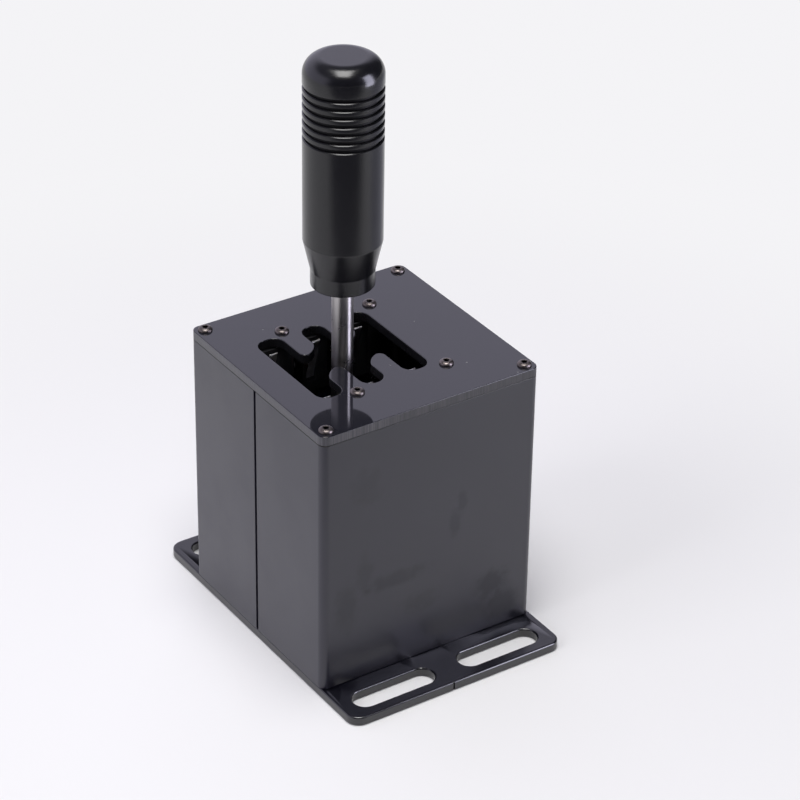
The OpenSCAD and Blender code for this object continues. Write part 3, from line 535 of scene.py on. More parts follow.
# Painted shade: the inside of each hex socket is darkened
screw_steel.tint(screw_steel.marked("recess"), (0.012, 0.011, 0.011))
bare_aluminium = plain_finish(
    "bare_aluminium", (0.56, 0.56, 0.57), 0.36, 1.0, (90, 0.28, 0.42), ((60, 1800, 1800), 0.12, 0.00005))
hardware_steel = plain_finish(
    "hardware_steel", (0.50, 0.49, 0.47), 0.3, 1.0, (300, 0.2, 0.36), ((1500, 1500, 3000), 0.08, 0.00004))
spring_steel = plain_finish(
    "spring_steel", (0.46, 0.45, 0.44), 0.26, 1.0, (700, 0.2, 0.34), ((900, 900, 4000), 0.06, 0.00003))
bush_bronze = plain_finish(
    "bush_bronze", (0.45, 0.30, 0.13), 0.36, 1.0, (400, 0.28, 0.46),
    patches=(800, 0.5, (0.25, 0.16, 0.07)))
contact_metal = plain_finish(
    "contact_metal", (0.70, 0.62, 0.42), 0.26, 1.0, (900, 0.18, 0.34),
    patches=(1500, 0.4, (0.50, 0.42, 0.26)))
socket_metal = plain_finish(
    "socket_metal", (0.58, 0.58, 0.60), 0.24, 1.0, (200, 0.18, 0.32), ((2400, 100, 100), 0.06, 0.00003))
blade_steel = plain_finish(
    "blade_steel", (0.50, 0.49, 0.48), 0.36, 1.0, (500, 0.32, 0.44), ((3000, 60, 60), 0.06, 0.00002))
print("metals: ready")

# %% The plastics, the rubber and the board
black_plastic = plain_finish(
    "black_plastic", (0.016, 0.016, 0.018), 0.42, 0.0, (150, 0.34, 0.5), ((2200, 2200, 2200), 0.15, 0.00004))
red_plastic = plain_finish(
    "red_plastic", (0.42, 0.035, 0.022), 0.36, 0.0, (600, 0.3, 0.45),
    patches=(300, 0.3, (0.30, 0.022, 0.016)))
white_nylon = plain_finish(
    "white_nylon", (0.66, 0.65, 0.60), 0.45, 0.0, (300, 0.38, 0.52),
    patches=(120, 0.25, (0.55, 0.53, 0.46)))
wire_rubber = plain_finish(
    "wire_rubber", (0.016, 0.016, 0.018), 0.48, 0.0, (200, 0.4, 0.56),
    patches=(60, 0.5, (0.03, 0.03, 0.033)))
board_lacquer = plain_finish("board_lacquer", (0.010, 0.017, 0.060), 0.3, 0.0, (90, 0.24, 0.36))
tracks = board_lacquer.math(
    "GREATER_THAN", board_lacquer.effect(tool_lines, Stretch=(90, 0, 520)), 0.56)
board_lacquer.tint(tracks, (0.018, 0.032, 0.105))
board_lacquer.bump(tracks, 0.3, 0.00004)
print("finishes:", len(bpy.data.materials))

# %% [markdown]
# ## Plates and shells
# On the real object these are cut plates and two drawn channels, deburred all round, so every edge
# carries a hairline of light. The CAD solids have knife edges. A copy of each node is merged, its flat
# faces are rejoined, and a small bevel with hardened normals eases the edges: modelling the plates
# again would only repeat sizes that the frame already holds.

# %% Eased copies of CAD nodes
MERGE = 2e-6
FLAT = math.radians(0.4)
SHARP = math.radians(38)


def plain_mesh(thing):
    """Turns an object with modifiers into the plain mesh that they make."""
    bpy.context.view_layer.update()
    ready = thing.evaluated_get(bpy.context.evaluated_depsgraph_get())
    result = bpy.data.meshes.new_from_object(ready)
    thing.modifiers.clear()
    thing.data = result
    return thing


def placed(name, mesh):
    """An object at the origin that carries a mesh."""
    piece = bpy.data.objects.new(name, mesh)
    scene.collection.objects.link(piece)
    return piece


def closed(name, shape, sharp=None, finish=None):
    """An object of a closed shape: flat, or smooth except over edges that bend by more than an angle."""
    bmesh.ops.recalc_face_normals(shape, faces=shape.faces)
    for face in shape.faces:
        face.smooth = sharp is not None
    mesh = bpy.data.meshes.new(name)
    shape.to_mesh(mesh)
    shape.free()
    if sharp is not None:
        mesh.set_sharp_from_angle(angle=math.radians(sharp))
    if finish:
        mesh.materials.append(finish.material)
    return placed(name, mesh)


def modify(piece, kind, **settings):
    """A modifier of a piece, with its settings."""
    modifier = piece.modifiers.new(kind, kind)
    for label, value in settings.items():
        setattr(modifier, label, value)
    return modifier


def rejoined(node, side=0):
    """A copy of a CAD node's mesh, merged and with its flat faces rejoined; a side keeps one half in Y."""
    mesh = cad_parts[node].data.copy()
    mesh.materials.clear()
    if "custom_normal" in mesh.attributes:
        mesh.attributes.remove(mesh.attributes["custom_normal"])
    shape = bmesh.new()
    shape.from_mesh(mesh)
    bmesh.ops.remove_doubles(shape, verts=shape.verts, dist=MERGE)
    if side:
        bmesh.ops.delete(shape, geom=[v for v in shape.verts if v.co.y * side < 0], context="VERTS")
    bmesh.ops.dissolve_limit(shape, angle_limit=FLAT, verts=shape.verts, edges=shape.edges)
    for face in shape.faces:
        face.smooth = True
        face.material_index = 0
    for seam in shape.edges:
        seam.smooth = True
    shape.to_mesh(mesh)
    shape.free()
    return mesh


def settle(piece, body, slot, *nodes):
    """Hands a finished piece to its body and hides the nodes that it stands for. The slot is not used."""
    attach(piece, body)
    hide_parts(*nodes)
    return piece


def weigh_edges(mesh, wanted):
    """Marks the sharp edges whose middle passes a test, so that only these are bevelled."""
    shape = bmesh.new()
    shape.from_mesh(mesh)
    weight = shape.edges.layers.float.new("bevel_weight_edge")
    for edge in shape.edges:
        middle = (edge.verts[0].co + edge.verts[1].co) / 2
        edge[weight] = float(edge.is_manifold and edge.calc_face_angle() > SHARP and wanted(middle))
    shape.to_mesh(mesh)
    shape.free()


def eased(node, finish, body, slot, width, rounds=2, cutters=(), side=0, clamp=True, wanted=None):
    """A piece shaped like a CAD node, with all its sharp edges bevelled or only those that pass a test."""
    mesh = rejoined(node, side)
    mesh.materials.append(finish.material)
    if wanted:
        weigh_edges(mesh, wanted)
    piece = placed(node + {0: ".eased", 1: ".rear", -1: ".front"}[side], mesh)
    modify(piece, "BEVEL", width=width, segments=rounds, limit_method="WEIGHT" if wanted else "ANGLE",
           angle_limit=SHARP, harden_normals=True, use_clamp_overlap=clamp)
    for cutter in cutters:
        modify(piece, "BOOLEAN", operation="DIFFERENCE", solver="EXACT", object=cutter)
    plain_mesh(piece)
    return settle(piece, body, slot, node)


def block(low, high, name, finish=None):
    """A box between two corners."""
    shape = bmesh.new()
    bmesh.ops.create_cube(shape, size=1.0)
    for corner in shape.verts:
        corner.co = Vector([low[i] if corner.co[i] < 0 else high[i] for i in range(3)])
    return closed(name, shape, finish=finish)


print("eased copies: ready")

# %% Base plate and shells
BASE_EASE = 0.7 * MM
SHELL_EASE = 0.35 * MM
NOTCH_X = -3.0 * MM
NOTCH_WIDTH = 0.8 * MM
NOTCH_DEPTH = 0.55 * MM
PAST = 10 * MM
RIM_MARGIN = 0.1 * MM
base_low, base_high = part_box("base_plate")
rear_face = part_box("rear_shell")[1].y
notch = block(
    (NOTCH_X - NOTCH_WIDTH / 2, base_low.y - PAST, -PAST),
    (NOTCH_X + NOTCH_WIDTH / 2, base_low.y + NOTCH_DEPTH, 2 * PAST), "notch")


def on_rim(spot):
    """True on the base plate's outline and on its flanges, outside the case."""
    return abs(spot.x) > base_high.x - RIM_MARGIN or abs(spot.y) > rear_face + RIM_MARGIN


base_plate = eased(
    "base_plate", base_coat, "housing", "plate_black", BASE_EASE, 4, (notch,), clamp=False, wanted=on_rim)
bpy.data.objects.remove(notch)
for shell in ("front_shell", "rear_shell"):
    eased(shell, shell_coat, "housing", "case_black", SHELL_EASE)
print("base plate:", len(base_plate.data.polygons), "faces")

# %% Top plate, whose gate edges are darkened with painted shade
TOP_EASE = 0.3 * MM
top_plate = eased("top_plate", top_coat, "housing", "plate_black", TOP_EASE, 3, clamp=False)
top_low, top_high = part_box("top_plate")
top_plate.data.materials.append(gate_shade_coat.material)
GATE_RIM = 12 * MM
CUT_SLOPE = 0.3
gate_faces = 0
for face in top_plate.data.polygons:
    inside = min(face.center.x - top_low.x, top_high.x - face.center.x) > GATE_RIM
    inside = inside and min(face.center.y - top_low.y, top_high.y - face.center.y) > GATE_RIM
    if inside and abs(face.normal.z) < CUT_SLOPE:
        face.material_index = 1
        gate_faces += 1
print("top plate:", len(top_plate.data.polygons), "faces,", gate_faces, "in the gate")

# %% [markdown]
# ## Knob and lever
# The knob is one bar of aluminium turned on a lathe: a collar, a cone, a straight grip with seven
# grooves and a rounded top. Its half section is drawn as a list of points and spun round the lever's
# axis. The lower lip of each groove is a steep chamfer, because that is what catches the lamp.

# %% Turned pieces
TURN_STEPS = 112


def skin(shape, rings):
    """Faces between neighbouring rings of points; a ring of one point makes a tip."""
    for lower, upper in zip(rings, rings[1:]):
        count = max(len(lower), len(upper))
        for i in range(count):
            j = (i + 1) % count
            corners = (
                lower[i % len(lower)], lower[j % len(lower)], upper[j % len(upper)], upper[i % len(upper)])
            shape.faces.new(list(dict.fromkeys(corners)))


def turned(name, section, axis_x, finish):
    """Spins a half section of (radius, height) points round an upright axis."""
    shape = bmesh.new()
    rings = []
    for radius, high in section:
        steps = TURN_STEPS if radius else 1
        turns = [2 * math.pi * i / steps for i in range(steps)]
        rings.append([
            shape.verts.new((axis_x + radius * math.cos(turn), radius * math.sin(turn), high))
            for turn in turns])
    skin(shape, rings)
    return closed(name, shape, sharp=32, finish=finish)


def arc(centre, radius, start, stop, steps):
    """Points on an arc of a half section, angles in degrees."""
    turns = [math.radians(start + (stop - start) * i / steps) for i in range(steps + 1)]
    return [(centre[0] + radius * math.cos(turn), centre[1] + radius * math.sin(turn)) for turn in turns]


print("turned pieces:", TURN_STEPS, "steps round")

# %% The knob's section
knob_low, knob_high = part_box("knob")
lever_x = (knob_low.x + knob_high.x) / 2
grip_r = (knob_high.x - knob_low.x) / 2
COLLAR_R = 12.65 * MM
COLLAR_H = 6.8 * MM
CONE_H = 12.6 * MM
TOP_ROUND = 7.0 * MM
BORE_R = 4.4 * MM
BORE_DEPTH = 44.1 * MM
GROOVES = 7
GROOVE_PITCH = 3.43 * MM
GROOVE_WIDTH = 1.8 * MM
GROOVE_DEPTH = 1.1 * MM
GROOVE_TOP = 12.3 * MM
LIP_REACH = 0.48 * MM
LIP_RISE = 0.30 * MM
BROW_ROUND = 0.2 * MM
SUPPORT = 0.04 * MM
EDGE = 0.45 * MM
# The cone's two soft ends, in mm from the collar's top edge and from the grip's lower edge
CONE_FOOT = ((0.0, -0.1), (0.02, 0.0), (0.06, 0.2))
CONE_END = ((-0.08, -0.3), (-0.01, 0.0), (0.0, 0.3))
foot, crown = knob_low.z, knob_high.z
shoulder = foot + COLLAR_H
neck = shoulder + CONE_H
section = [(0, foot + BORE_DEPTH), (BORE_R, foot + BORE_DEPTH), (BORE_R, foot + EDGE), (BORE_R + EDGE, foot)]
section += arc((COLLAR_R - EDGE, foot + EDGE), EDGE, -90, 0, 5)
section += [(COLLAR_R + out * MM, shoulder + rise * MM) for out, rise in CONE_FOOT]
section += [(grip_r + out * MM, neck + rise * MM) for out, rise in CONE_END]
for i in reversed(range(GROOVES)):
    sill = crown - GROOVE_TOP - i * GROOVE_PITCH - LIP_RISE
    floor_r = grip_r - GROOVE_DEPTH
    section += [(grip_r, sill - SUPPORT), (grip_r - SUPPORT, sill), (grip_r - LIP_REACH, sill + LIP_RISE),
                (grip_r - LIP_REACH - SUPPORT, sill + LIP_RISE), (floor_r, sill + LIP_RISE + SUPPORT)]
    brow = sill + GROOVE_WIDTH
    section += [(floor_r, brow - SUPPORT), (floor_r + SUPPORT, brow)]
    section += arc((grip_r - BROW_ROUND, brow + BROW_ROUND), BROW_ROUND, -90, 0, 3)
section += [(grip_r, crown - TOP_ROUND - SUPPORT)]
section += arc((grip_r - TOP_ROUND, crown - TOP_ROUND), TOP_ROUND, 0, 90, 26)
section += [(grip_r - TOP_ROUND - SUPPORT, crown), (0, crown)]
knob = settle(turned("knob.turned", section, lever_x, knob_coat), "lever", "knob_black", "knob")
knob.data.materials.append(groove_shade_coat.material)
# The faces inside the grooves take the darker coat of painted shade
for face in knob.data.polygons:
    out = math.hypot(face.center.x - lever_x, face.center.y)
    if neck < face.center.z < crown - TOP_ROUND and 0.9 * LIP_REACH < grip_r - out < 1.2 * GROOVE_DEPTH:
        face.material_index = 1
print("knob:", len(section), "points in the section,", len(knob.data.polygons), "faces")

# %% The lever's shaft
shaft_low, shaft_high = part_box("lever_shaft")
shaft_r = (shaft_high.x - shaft_low.x) / 2
POINT = 0.5 * MM
shaft_section = [
    (0, shaft_low.z), (shaft_r - POINT, shaft_low.z), (shaft_r, shaft_low.z + POINT),
    (shaft_r, shaft_high.z - POINT), (shaft_r - POINT, shaft_high.z), (0, shaft_high.z)]
shaft = turned("lever_shaft.ground", shaft_section, lever_x, lever_steel)
settle(shaft, "lever", "bright_steel", "lever_shaft")
print("shaft:", round(2 * shaft_r / MM, 2), "mm thick")

# %% [markdown]
# ## Screws and pins
# The plates are held by small button screws whose hex sockets stand at whatever angle they were
# tightened to. One screw is drawn ring by ring, and a Geometry Nodes tree sets it on every hole with
# a random turn from a fixed seed. Copying objects would work too, but the tree keeps one screw as
# the only thing to change, and it serves the pins of the board as well.

# %% A tree that sets a part on points
def node_tree(name, **inputs):
    """A Geometry Nodes tree with its named inputs, its group sockets and their identifiers."""
    tree = bpy.data.node_groups.new(name, "GeometryNodeTree")
    tree.is_modifier = True
    tree.interface.new_socket("Geometry", in_out="OUTPUT", socket_type="NodeSocketGeometry")
    tree.interface.new_socket("Geometry", in_out="INPUT", socket_type="NodeSocketGeometry")
    keys = {}
    for label, kind in inputs.items():
        keys[label] = tree.interface.new_socket(label, in_out="INPUT", socket_type=kind).identifier
    ends = tree.nodes.new("NodeGroupInput"), tree.nodes.new("NodeGroupOutput")
    return tree, ends[0].outputs, ends[1].inputs["Geometry"], keys


def end_tree(tree, made, finish, get):
    """Makes the instances real, coats them and leads them out."""
    real = step(tree, "RealizeInstances", Geometry=made.outputs[0])
    link(tree, step(tree, "SetMaterial", Geometry=real.outputs[0], Material=finish).outputs[0], get)
    print("tree:", tree.name)


WHOLE, PART, PAINT = "NodeSocketInt", "NodeSocketObject", "NodeSocketMaterial"
set_tree, put, get, set_keys = node_tree(
    "set_on_points", Part=PART, Lean=ARROW, Turn=NUMBER, Seed=WHOLE, Finish=PAINT)
template = step(set_tree, "ObjectInfo", Object=put["Part"])
copies = step(
    set_tree, "InstanceOnPoints", Points=put["Geometry"], Instance=template.outputs["Geometry"],
    Rotation=put["Lean"])
chance = set_tree.nodes.new("FunctionNodeRandomValue")
chance.data_type = "FLOAT"
link(set_tree, put["Turn"], chance.inputs[3])
link(set_tree, put["Seed"], chance.inputs["Seed"])
spin = step(set_tree, "ShaderNodeCombineXYZ", Z=chance.outputs[1])
spun = step(set_tree, "RotateInstances", Instances=copies.outputs[0], Rotation=spin.outputs[0])
end_tree(set_tree, spun, put["Finish"], get)


def grown(name, mesh, tree, keys, **values):
    """An object whose mesh a Geometry Nodes tree has made, as a plain mesh."""
    piece = placed(name, mesh)
    grow = modify(piece, "NODES", node_group=tree)
    for label, value in values.items():
        grow[keys[label]] = value
    return plain_mesh(piece)


def drawn(name, spots, joined=False):
    """A mesh of loose points, or of one line through them."""
    mesh = bpy.data.meshes.new(name)
    mesh.from_pydata(spots, [(i, i + 1) for i in range(len(spots) - 1)] if joined else [], [])
    return mesh


def set_parts(node, part, spots, lean, finish, slot, turn=0.0, seed=0):
    """Copies of a part on points, which stand for a CAD node of the housing."""
    piece = grown(
        node + ".set", drawn("spots", spots), set_tree, set_keys, Part=part, Lean=lean, Turn=turn, Seed=seed,
        Finish=finish.material)
    return settle(piece, "housing", slot, node)


print("parts: can be set on points")

# %% One button screw
SIDES = 48
TURN = 2 * math.pi
THREAD_PITCH = 0.7 * MM
THREAD_DEPTH = 0.18 * MM
TIP_SHARE = 0.7
HEAD_R = 2.9 * MM
HEAD_EDGE = 0.12 * MM
RIM = 0.3 * MM
SHANK_R = 1.45 * MM
KEY = 1.98 * MM
KEY_FLOOR = 0.35
MOUTH_R = 1.3 * MM


def screw(name, outline, socket_top, socket_floor):
    """A screw from its outline of (radius, height) points, tip first, with a hex socket in its head."""
    shape = bmesh.new()
    recess = shape.verts.layers.float.new("recess")
    sixth = math.pi / 3
    rings = []
    # The socket's rings carry 1 in the recess layer, which the screw's finish darkens as painted shade
    hexagons = [(0, socket_top, 1.0), (0, socket_floor, 1.0)]
    for radius, high, inside in [(*spot, 0.0) for spot in outline] + hexagons:
        ring = []
        for i in range(SIDES):
            turn = TURN * i / SIDES
            reach = radius or KEY / 2 / math.cos((turn + sixth / 2) % sixth - sixth / 2)
            ring.append(shape.verts.new((reach * math.cos(turn), reach * math.sin(turn), high)))
            ring[-1][recess] = inside
        rings.append(ring)
    skin(shape, rings)
    shape.faces.new(rings[0][::-1])
    shape.faces.new(rings[-1])
    return closed(name, shape, sharp=35)


def thread(radius, tip, top):
    """The outline of a threaded shank from its tip up to the head."""
    outline = [(radius * TIP_SHARE, tip)]
    high = tip + THREAD_PITCH / 2
    while high < top - THREAD_PITCH:
        outline += [(radius, high), (radius - THREAD_DEPTH, high + THREAD_PITCH / 2)]
        high += THREAD_PITCH
    return outline + [(radius, top)]


cover_low, cover_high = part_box("cover_screws")
seat = top_high.z
dome = cover_high.z - seat
head = [(HEAD_R - HEAD_EDGE, 0), (HEAD_R, HEAD_EDGE)]
head += [(MOUTH_R + (HEAD_R - MOUTH_R) * math.cos(math.radians(a)),
          RIM + (dome - RIM) * math.sin(math.radians(a))) for a in range(0, 91, 10)]


def button_screw(name, tip):
    """A button screw whose shank ends at a depth below its seat."""
    return screw(name, thread(SHANK_R, tip, 0) + head, dome - HEAD_EDGE, KEY_FLOOR * dome)


plate_screw = button_screw("plate_screw", cover_low.z - seat)
print("button screw:", len(plate_screw.data.polygons), "faces")


# %% Screws in their holes
def holes(low, high, inset, z):
    """The four corners of a box, moved in by a head's radius."""
    return [(x, y, z) for x in (low.x + inset, high.x - inset) for y in (low.y + inset, high.y - inset)]


for node, seed in (("cover_screws", 4), ("switch_bar_screws", 9)):
    spots = holes(*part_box(node), HEAD_R, seat)
    set_parts(node, plate_screw, spots, (0, 0, 0), screw_steel, "screw_steel", TURN, seed)
plug_low, plug_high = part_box("data_socket_screws")
socket_screw = button_screw("socket_screw", plug_low.y - rear_face)
spots = [(x, rear_face, (plug_low.z + plug_high.z) / 2) for x in (plug_low.x + HEAD_R, plug_high.x - HEAD_R)]
set_parts("data_socket_screws", socket_screw, spots, (-TURN / 4, 0, 0), screw_steel, "screw_steel", TURN, 2)
SINK_R = 3.0 * MM
SINK = 1.65 * MM
SINK_KEY = 1.1 * MM
# The countersunk head's rim, in mm from its edge and from the underside
SINK_RIM = ((-0.1, -0.1), (-0.15, -0.02))
foot_low, foot_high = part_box("base_screws")
sunk = thread(SHANK_R, -foot_high.z, -SINK) + [(SINK_R + out * MM, rise * MM) for out, rise in SINK_RIM]
sunk += [(MOUTH_R, sunk[-1][1])]
foot_screw = screw("foot_screw", sunk, -HEAD_EDGE, -SINK_KEY)
spots = holes(foot_low, foot_high, SINK_R, foot_low.z)
set_parts("base_screws", foot_screw, spots, (TURN / 2, 0, 0), screw_steel, "screw_steel", TURN, 7)
for part in (plate_screw, socket_screw, foot_screw):
    bpy.data.objects.remove(part)
print("screws: 4 corner, 4 inner, 2 at the socket, 4 below")

# %% [markdown]
# ## Switches at the gate's ends
# Six lever switches hang under the plate, one at each end of the three slots. Each has a bent leaf of
# spring steel whose rolled tip shows in the gate, a red button behind it and three contacts at its
# back. The bodies are eased CAD copies. The leaves are drawn as a bent line with a thickness, since the
# roll at the tip is what catches the light.

# %% Bars, bodies, buttons and contacts
BAR_EASE = 0.25 * MM
SMALL_EASE = 0.2 * MM
CONTACT_EASE = 0.1 * MM
for node in ("front_switch_bar", "rear_switch_bar"):
    eased(node, black_plastic, "housing", "black_plastic", BAR_EASE)
for number in range(1, 7):
    eased("microswitch_%d" % number, black_plastic, "housing", "black_plastic", SMALL_EASE)
eased("switch_terminals", contact_metal, "housing", "contact_metal", CONTACT_EASE)
switch_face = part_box("microswitch_1")[0].y
for side in (-1, 1):
    button = eased("switch_plungers", red_plastic, "housing", "plunger_red", SMALL_EASE, 3, side=side)
    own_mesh(button)
print("switches: faces at", round(switch_face / MM, 1), "mm")

# %% Blades
BLADE_HALF = 0.2 * MM
# The bent line as shares of its reach and of its height, from the foot to the rolled tip
BEND = ((0.037, 0.0), (0.037, 0.062), (0.06, 0.118), (0.11, 0.18), (0.925, 0.975), (0.942, 0.99),
        (0.962, 1.0), (0.985, 0.996), (1.0, 0.984))


def blade(number):
    """A bent leaf that leans from the switch's face towards the middle of the gate."""
    node = "switch_blade_%d" % number
    low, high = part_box(node)
    side = 1 if high.y > 0 else -1
    reach = switch_face - min(abs(low.y), abs(high.y)) - BLADE_HALF
    tall = high.z - low.z - BLADE_HALF
    line = [Vector((side * (switch_face - out * reach), low.z + rise * tall)) for out, rise in BEND]
    outer, inner = [], []
    for i, spot in enumerate(line):
        run = (line[min(i + 1, len(line) - 1)] - line[max(i - 1, 0)]).normalized()
        across = Vector((-run.y, run.x)) * BLADE_HALF
        outer.append(spot + across)
        inner.append(spot - across)
    rim = outer + inner[::-1]
    last = len(rim) - 1
    shape = bmesh.new()
    ends = [[shape.verts.new((x, y, z)) for y, z in rim] for x in (low.x, high.x)]
    skin(shape, ends)
    for end in ends:
        for i in range(len(line) - 1):
            shape.faces.new((end[i], end[i + 1], end[last - 1 - i], end[last - i]))
    leaf = closed(node + ".bent", shape, sharp=40, finish=blade_steel)
    settle(leaf, "housing", "spring_steel", node)
    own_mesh(leaf)
    return leaf


leaves = [blade(number) for number in range(1, 7)]
print("blades:", len(leaves), "of", len(leaves[0].data.polygons), "faces")

# %% [markdown]
# ## Pivot under the gate
# The lever stands in a hub that turns on a cross bolt in a ring, and the ring turns in two brackets:
# two hinges at right angles. Brackets, ring and hub are sawn and milled aluminium, so they are eased
# copies. The two return springs follow a rule, a coil with one closed turn at each end, so a Geometry
# Nodes tree winds them.

# %% Brackets, ring and hub
PIVOT_EASE = 0.4 * MM
PIVOT = {
    "front_pivot_bracket": "housing", "rear_pivot_bracket": "housing", "gimbal_ring": "yoke",
    "lever_hub": "lever"}
for node, body in PIVOT.items():
    eased(node, bare_aluminium, body, "bare_aluminium", PIVOT_EASE)
print("pivot:", ", ".join(PIVOT))

# %% A tree that winds a spring
COIL_POINTS = 320
WIRE_SIDES = 12
coil_tree, put, get, coil_keys = node_tree(
    "closed_coil", Foot=ARROW, Radius=NUMBER, Wire=NUMBER, Rise=NUMBER, Turns=NUMBER, Finish=PAINT)


def coil_math(operation, *values):
    return stage_math(coil_tree, operation, *values)


def ramp(value, start, stop, reach):
    """Rises from 0 to reach while the value goes from start to stop."""
    node = step(coil_tree, "ShaderNodeMapRange", Value=value, From_Min=start, From_Max=stop, To_Max=reach)
    return node.outputs["Result"]


line = step(coil_tree, "CurvePrimitiveLine")
fine = step(coil_tree, "ResampleCurve", Curve=line.outputs[0], Count=COIL_POINTS)
share = step(coil_tree, "SplineParameter").outputs["Factor"]
angle = coil_math("MULTIPLY", coil_math("MULTIPLY", share, put["Turns"]), TURN)
first = coil_math("DIVIDE", 1.0, put["Turns"])
last = coil_math("SUBTRACT", 1.0, first)
middle = coil_math("SUBTRACT", put["Rise"], coil_math("MULTIPLY", put["Wire"], 2.0))
climb = coil_math("ADD", ramp(share, 0.0, first, put["Wire"]), ramp(share, first, last, middle))
climb = coil_math("ADD", climb, ramp(share, last, 1.0, put["Wire"]))
spot = step(coil_tree, "ShaderNodeCombineXYZ", Z=climb,
            X=coil_math("MULTIPLY", put["Radius"], coil_math("COSINE", angle)),
            Y=coil_math("MULTIPLY", put["Radius"], coil_math("SINE", angle)))
moved = vector_math(coil_tree, "ADD", spot.outputs[0], put["Foot"])
wound = step(coil_tree, "SetPosition", Geometry=fine.outputs[0], Position=moved)
wire_r = coil_math("MULTIPLY", put["Wire"], 0.5)
round_wire = step(coil_tree, "CurvePrimitiveCircle", Resolution=WIRE_SIDES, Radius=wire_r)
solid = step(
    coil_tree, "CurveToMesh", Curve=wound.outputs[0], Profile_Curve=round_wire.outputs[0], Fill_Caps=True)
end_tree(coil_tree, solid, put["Finish"], get)

# %% Two springs
WIRE = 0.9 * MM
COIL_TURNS = 8.0
for node in ("select_spring_left", "select_spring_right"):
    low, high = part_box(node)
    middle_x = (low.x + high.x) / 2
    coil = grown(
        node + ".wound", bpy.data.meshes.new(node), coil_tree, coil_keys,
        Foot=(middle_x, 0, low.z + WIRE / 2), Radius=(high.x - low.x - WIRE) / 2, Wire=WIRE,
        Rise=high.z - low.z - WIRE, Turns=COIL_TURNS, Finish=spring_steel.material)
    coil.data.shade_smooth()
    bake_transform(coil)
    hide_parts(node)
print("springs:", len(coil.data.polygons), "faces each")

# %% [markdown]
# ## Board, wiring and data socket
# A small controller board stands on the rear wall, with a row of bright pins that show through the
# gate. Two looms run to it from the switches and a lead goes down to the socket. A loom is a few thin
# wires twisted together, so a tree fillets its route and sweeps a ring of small circles along it with
# a steady tilt; a single tube would look like a hose.

# %% Board, chip and socket
KEY_HALF = Vector((2.9, 0, 1.6)) * MM
BOARD_EASE = 0.15 * MM
eased("controller_board", board_lacquer, "housing", "board_blue", BOARD_EASE)
eased("controller_chip", black_plastic, "housing", "black_plastic", SMALL_EASE)
socket = eased("data_socket", socket_metal, "housing", "socket_metal", SMALL_EASE)
socket_low, socket_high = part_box("data_socket")
socket.data.materials.append(black_plastic.material)
middle = (socket_low + socket_high) / 2
for face in socket.data.polygons:
    near_key = abs(face.center.x - middle.x) < KEY_HALF.x and abs(face.center.z - middle.z) < KEY_HALF.z
    if near_key and face.center.y > middle.y:
        face.material_index = 1
print("board and socket: eased")

# %% Pin header of the board
pin_low, pin_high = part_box("board_pins")
PINS = 8
STRIP_DEEP = 2.2 * MM
STRIP_HALF = 1.0 * MM
# A pin's square rings, as shares of its thickness and of its length
PIN_TIP = ((1.0, 0.0), (1.0, 0.88), (0.82, 0.94), (0.5, 0.985), (0.2, 1.0))
pin_w = pin_high.z - pin_low.z
pin_reach = pin_high.y - pin_low.y
row_z = (pin_low.z + pin_high.z) / 2
shape = bmesh.new()
rings = [[shape.verts.new((x * half * pin_w / 2, y * half * pin_w / 2, high * pin_reach))
          for x, y in SQUARE] for half, high in PIN_TIP]
skin(shape, rings)
shape.faces.new(rings[0][::-1])
shape.faces.new(rings[-1])
pin = closed("pin", shape)
pitch = (pin_high.x - pin_low.x - pin_w) / (PINS - 1)
spots = [(pin_low.x + pin_w / 2 + i * pitch, pin_high.y, row_z) for i in range(PINS)]
set_parts("board_pins", pin, spots, (TURN / 4, 0, 0), contact_metal, "contact_metal")
bpy.data.objects.remove(pin)
strip = block(
    (pin_low.x - STRIP_HALF, pin_high.y - STRIP_DEEP, row_z - STRIP_HALF),
    (pin_high.x + STRIP_HALF, pin_high.y, row_z + STRIP_HALF), "pin_strip", black_plastic)
modify(strip, "BEVEL", width=BOARD_EASE, segments=2)
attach(plain_mesh(strip), "housing")
print("pins:", PINS, "at", round(pitch / MM, 2), "mm")

# %% A tree that twists a loom
LOOM_STEP = 1.2 * MM
LOOM_SIDES = 10
BEND_STEPS = 10
loom_tree, put, get, loom_keys = node_tree(
    "twisted_loom", Wires=WHOLE, Ring=NUMBER, Wire=NUMBER, Bend=NUMBER, Twist=NUMBER, Finish=PAINT)
route = step(loom_tree, "MeshToCurve", Mesh=put["Geometry"])
bent = step(loom_tree, "FilletCurve", Curve=route.outputs[0])
bent.mode = "POLY"
bent.inputs["Count"].default_value = BEND_STEPS
bent.inputs["Limit Radius"].default_value = True
link(loom_tree, put["Bend"], bent.inputs["Radius"])
fine = step(loom_tree, "ResampleCurve", Curve=bent.outputs[0])
fine.mode = "LENGTH"
fine.inputs["Length"].default_value = LOOM_STEP
travelled = step(loom_tree, "SplineParameter").outputs["Length"]
tilt = stage_math(loom_tree, "MULTIPLY", travelled, put["Twist"])
twisted = step(loom_tree, "SetCurveTilt", Curve=fine.outputs[0], Tilt=tilt)
wires = step(loom_tree, "CurvePrimitiveCircle", Resolution=put["Wires"], Radius=put["Ring"])
one_wire = step(loom_tree, "CurvePrimitiveCircle", Resolution=LOOM_SIDES, Radius=put["Wire"])
bundle = step(loom_tree, "InstanceOnPoints", Points=wires.outputs[0], Instance=one_wire.outputs[0])
real = step(loom_tree, "RealizeInstances", Geometry=bundle.outputs[0])
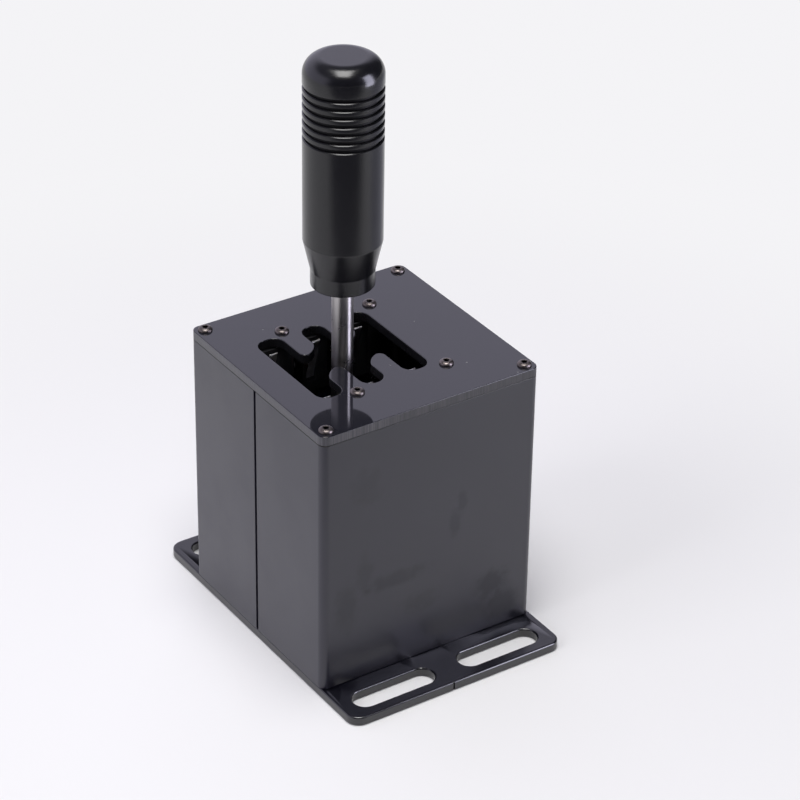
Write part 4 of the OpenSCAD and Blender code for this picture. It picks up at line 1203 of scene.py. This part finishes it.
solid = step(
    loom_tree, "CurveToMesh", Curve=twisted.outputs[0], Profile_Curve=real.outputs[0], Fill_Caps=True)
end_tree(loom_tree, solid, put["Finish"], get)

# %% Looms and lead
# Each run's radius in mm, its number of wires and its route in mm
RUNS = {
    "front_loom": (2.0, 6, (
        (9.85, -36.3, 110), (-38, -36.3, 110), (-38, -36.3, 78.5), (-38, 40.7, 78.5), (-21.1, 40.7, 78.5))),
    "rear_loom": (2.0, 6, (
        (-29.55, 36.3, 110), (29, 36.3, 110), (29, 36.3, 78.5), (29, 40.7, 78.5), (21.1, 40.7, 78.5))),
    "data_lead": (1.6, 4, ((17, 40.7, 25.5), (17, 40.7, 66.9))),
}
LOOM_BEND = 5 * MM
LOOM_TWIST = 160.0
WIRE_FIT = 0.98
for node, (run_r, count, route) in RUNS.items():
    half_turn = math.sin(math.pi / count)
    ring_r = run_r * MM / (1 + half_turn)
    path = drawn(node, [tuple(v * MM for v in spot) for spot in route], joined=True)
    loom = grown(
        node + ".twisted", path, loom_tree, loom_keys, Wires=count, Ring=ring_r,
        Wire=WIRE_FIT * ring_r * half_turn, Bend=LOOM_BEND, Twist=LOOM_TWIST, Finish=wire_rubber.material)
    loom.data.shade_smooth()
    settle(loom, "housing", "wire_black", node)
    print(node + ":", len(loom.data.polygons), "faces")

# %% [markdown]
# ## The rest of the hardware
# Bolts, nuts, bushes, washers, clips, seats and standoffs already have the right shape in the frame,
# so they stay as they are and only get their finishes.

# %% Finishes of the nodes that stay
STAY = {
    hardware_steel: (
        "bracket_screws", "board_screws", "switch_screws", "retaining_clips", "trunnion_pins", "cross_bolt",
        "cross_nut", "shaft_lock_nut"),
    white_nylon: ("board_standoffs", "side_washers"),
    black_plastic: ("spring_seats",),
    bush_bronze: ("pivot_bushes", "hub_bush"),
}
for finish, nodes in STAY.items():
    for node in nodes:
        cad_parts[node].material_slots[0].material = finish.material
print("kept nodes:", sum(len(nodes) for nodes in STAY.values()))

# %% Sizes and the end
low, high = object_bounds()
print("size:", [round(side / MM, 1) for side in Vector(high) - Vector(low)], "mm")
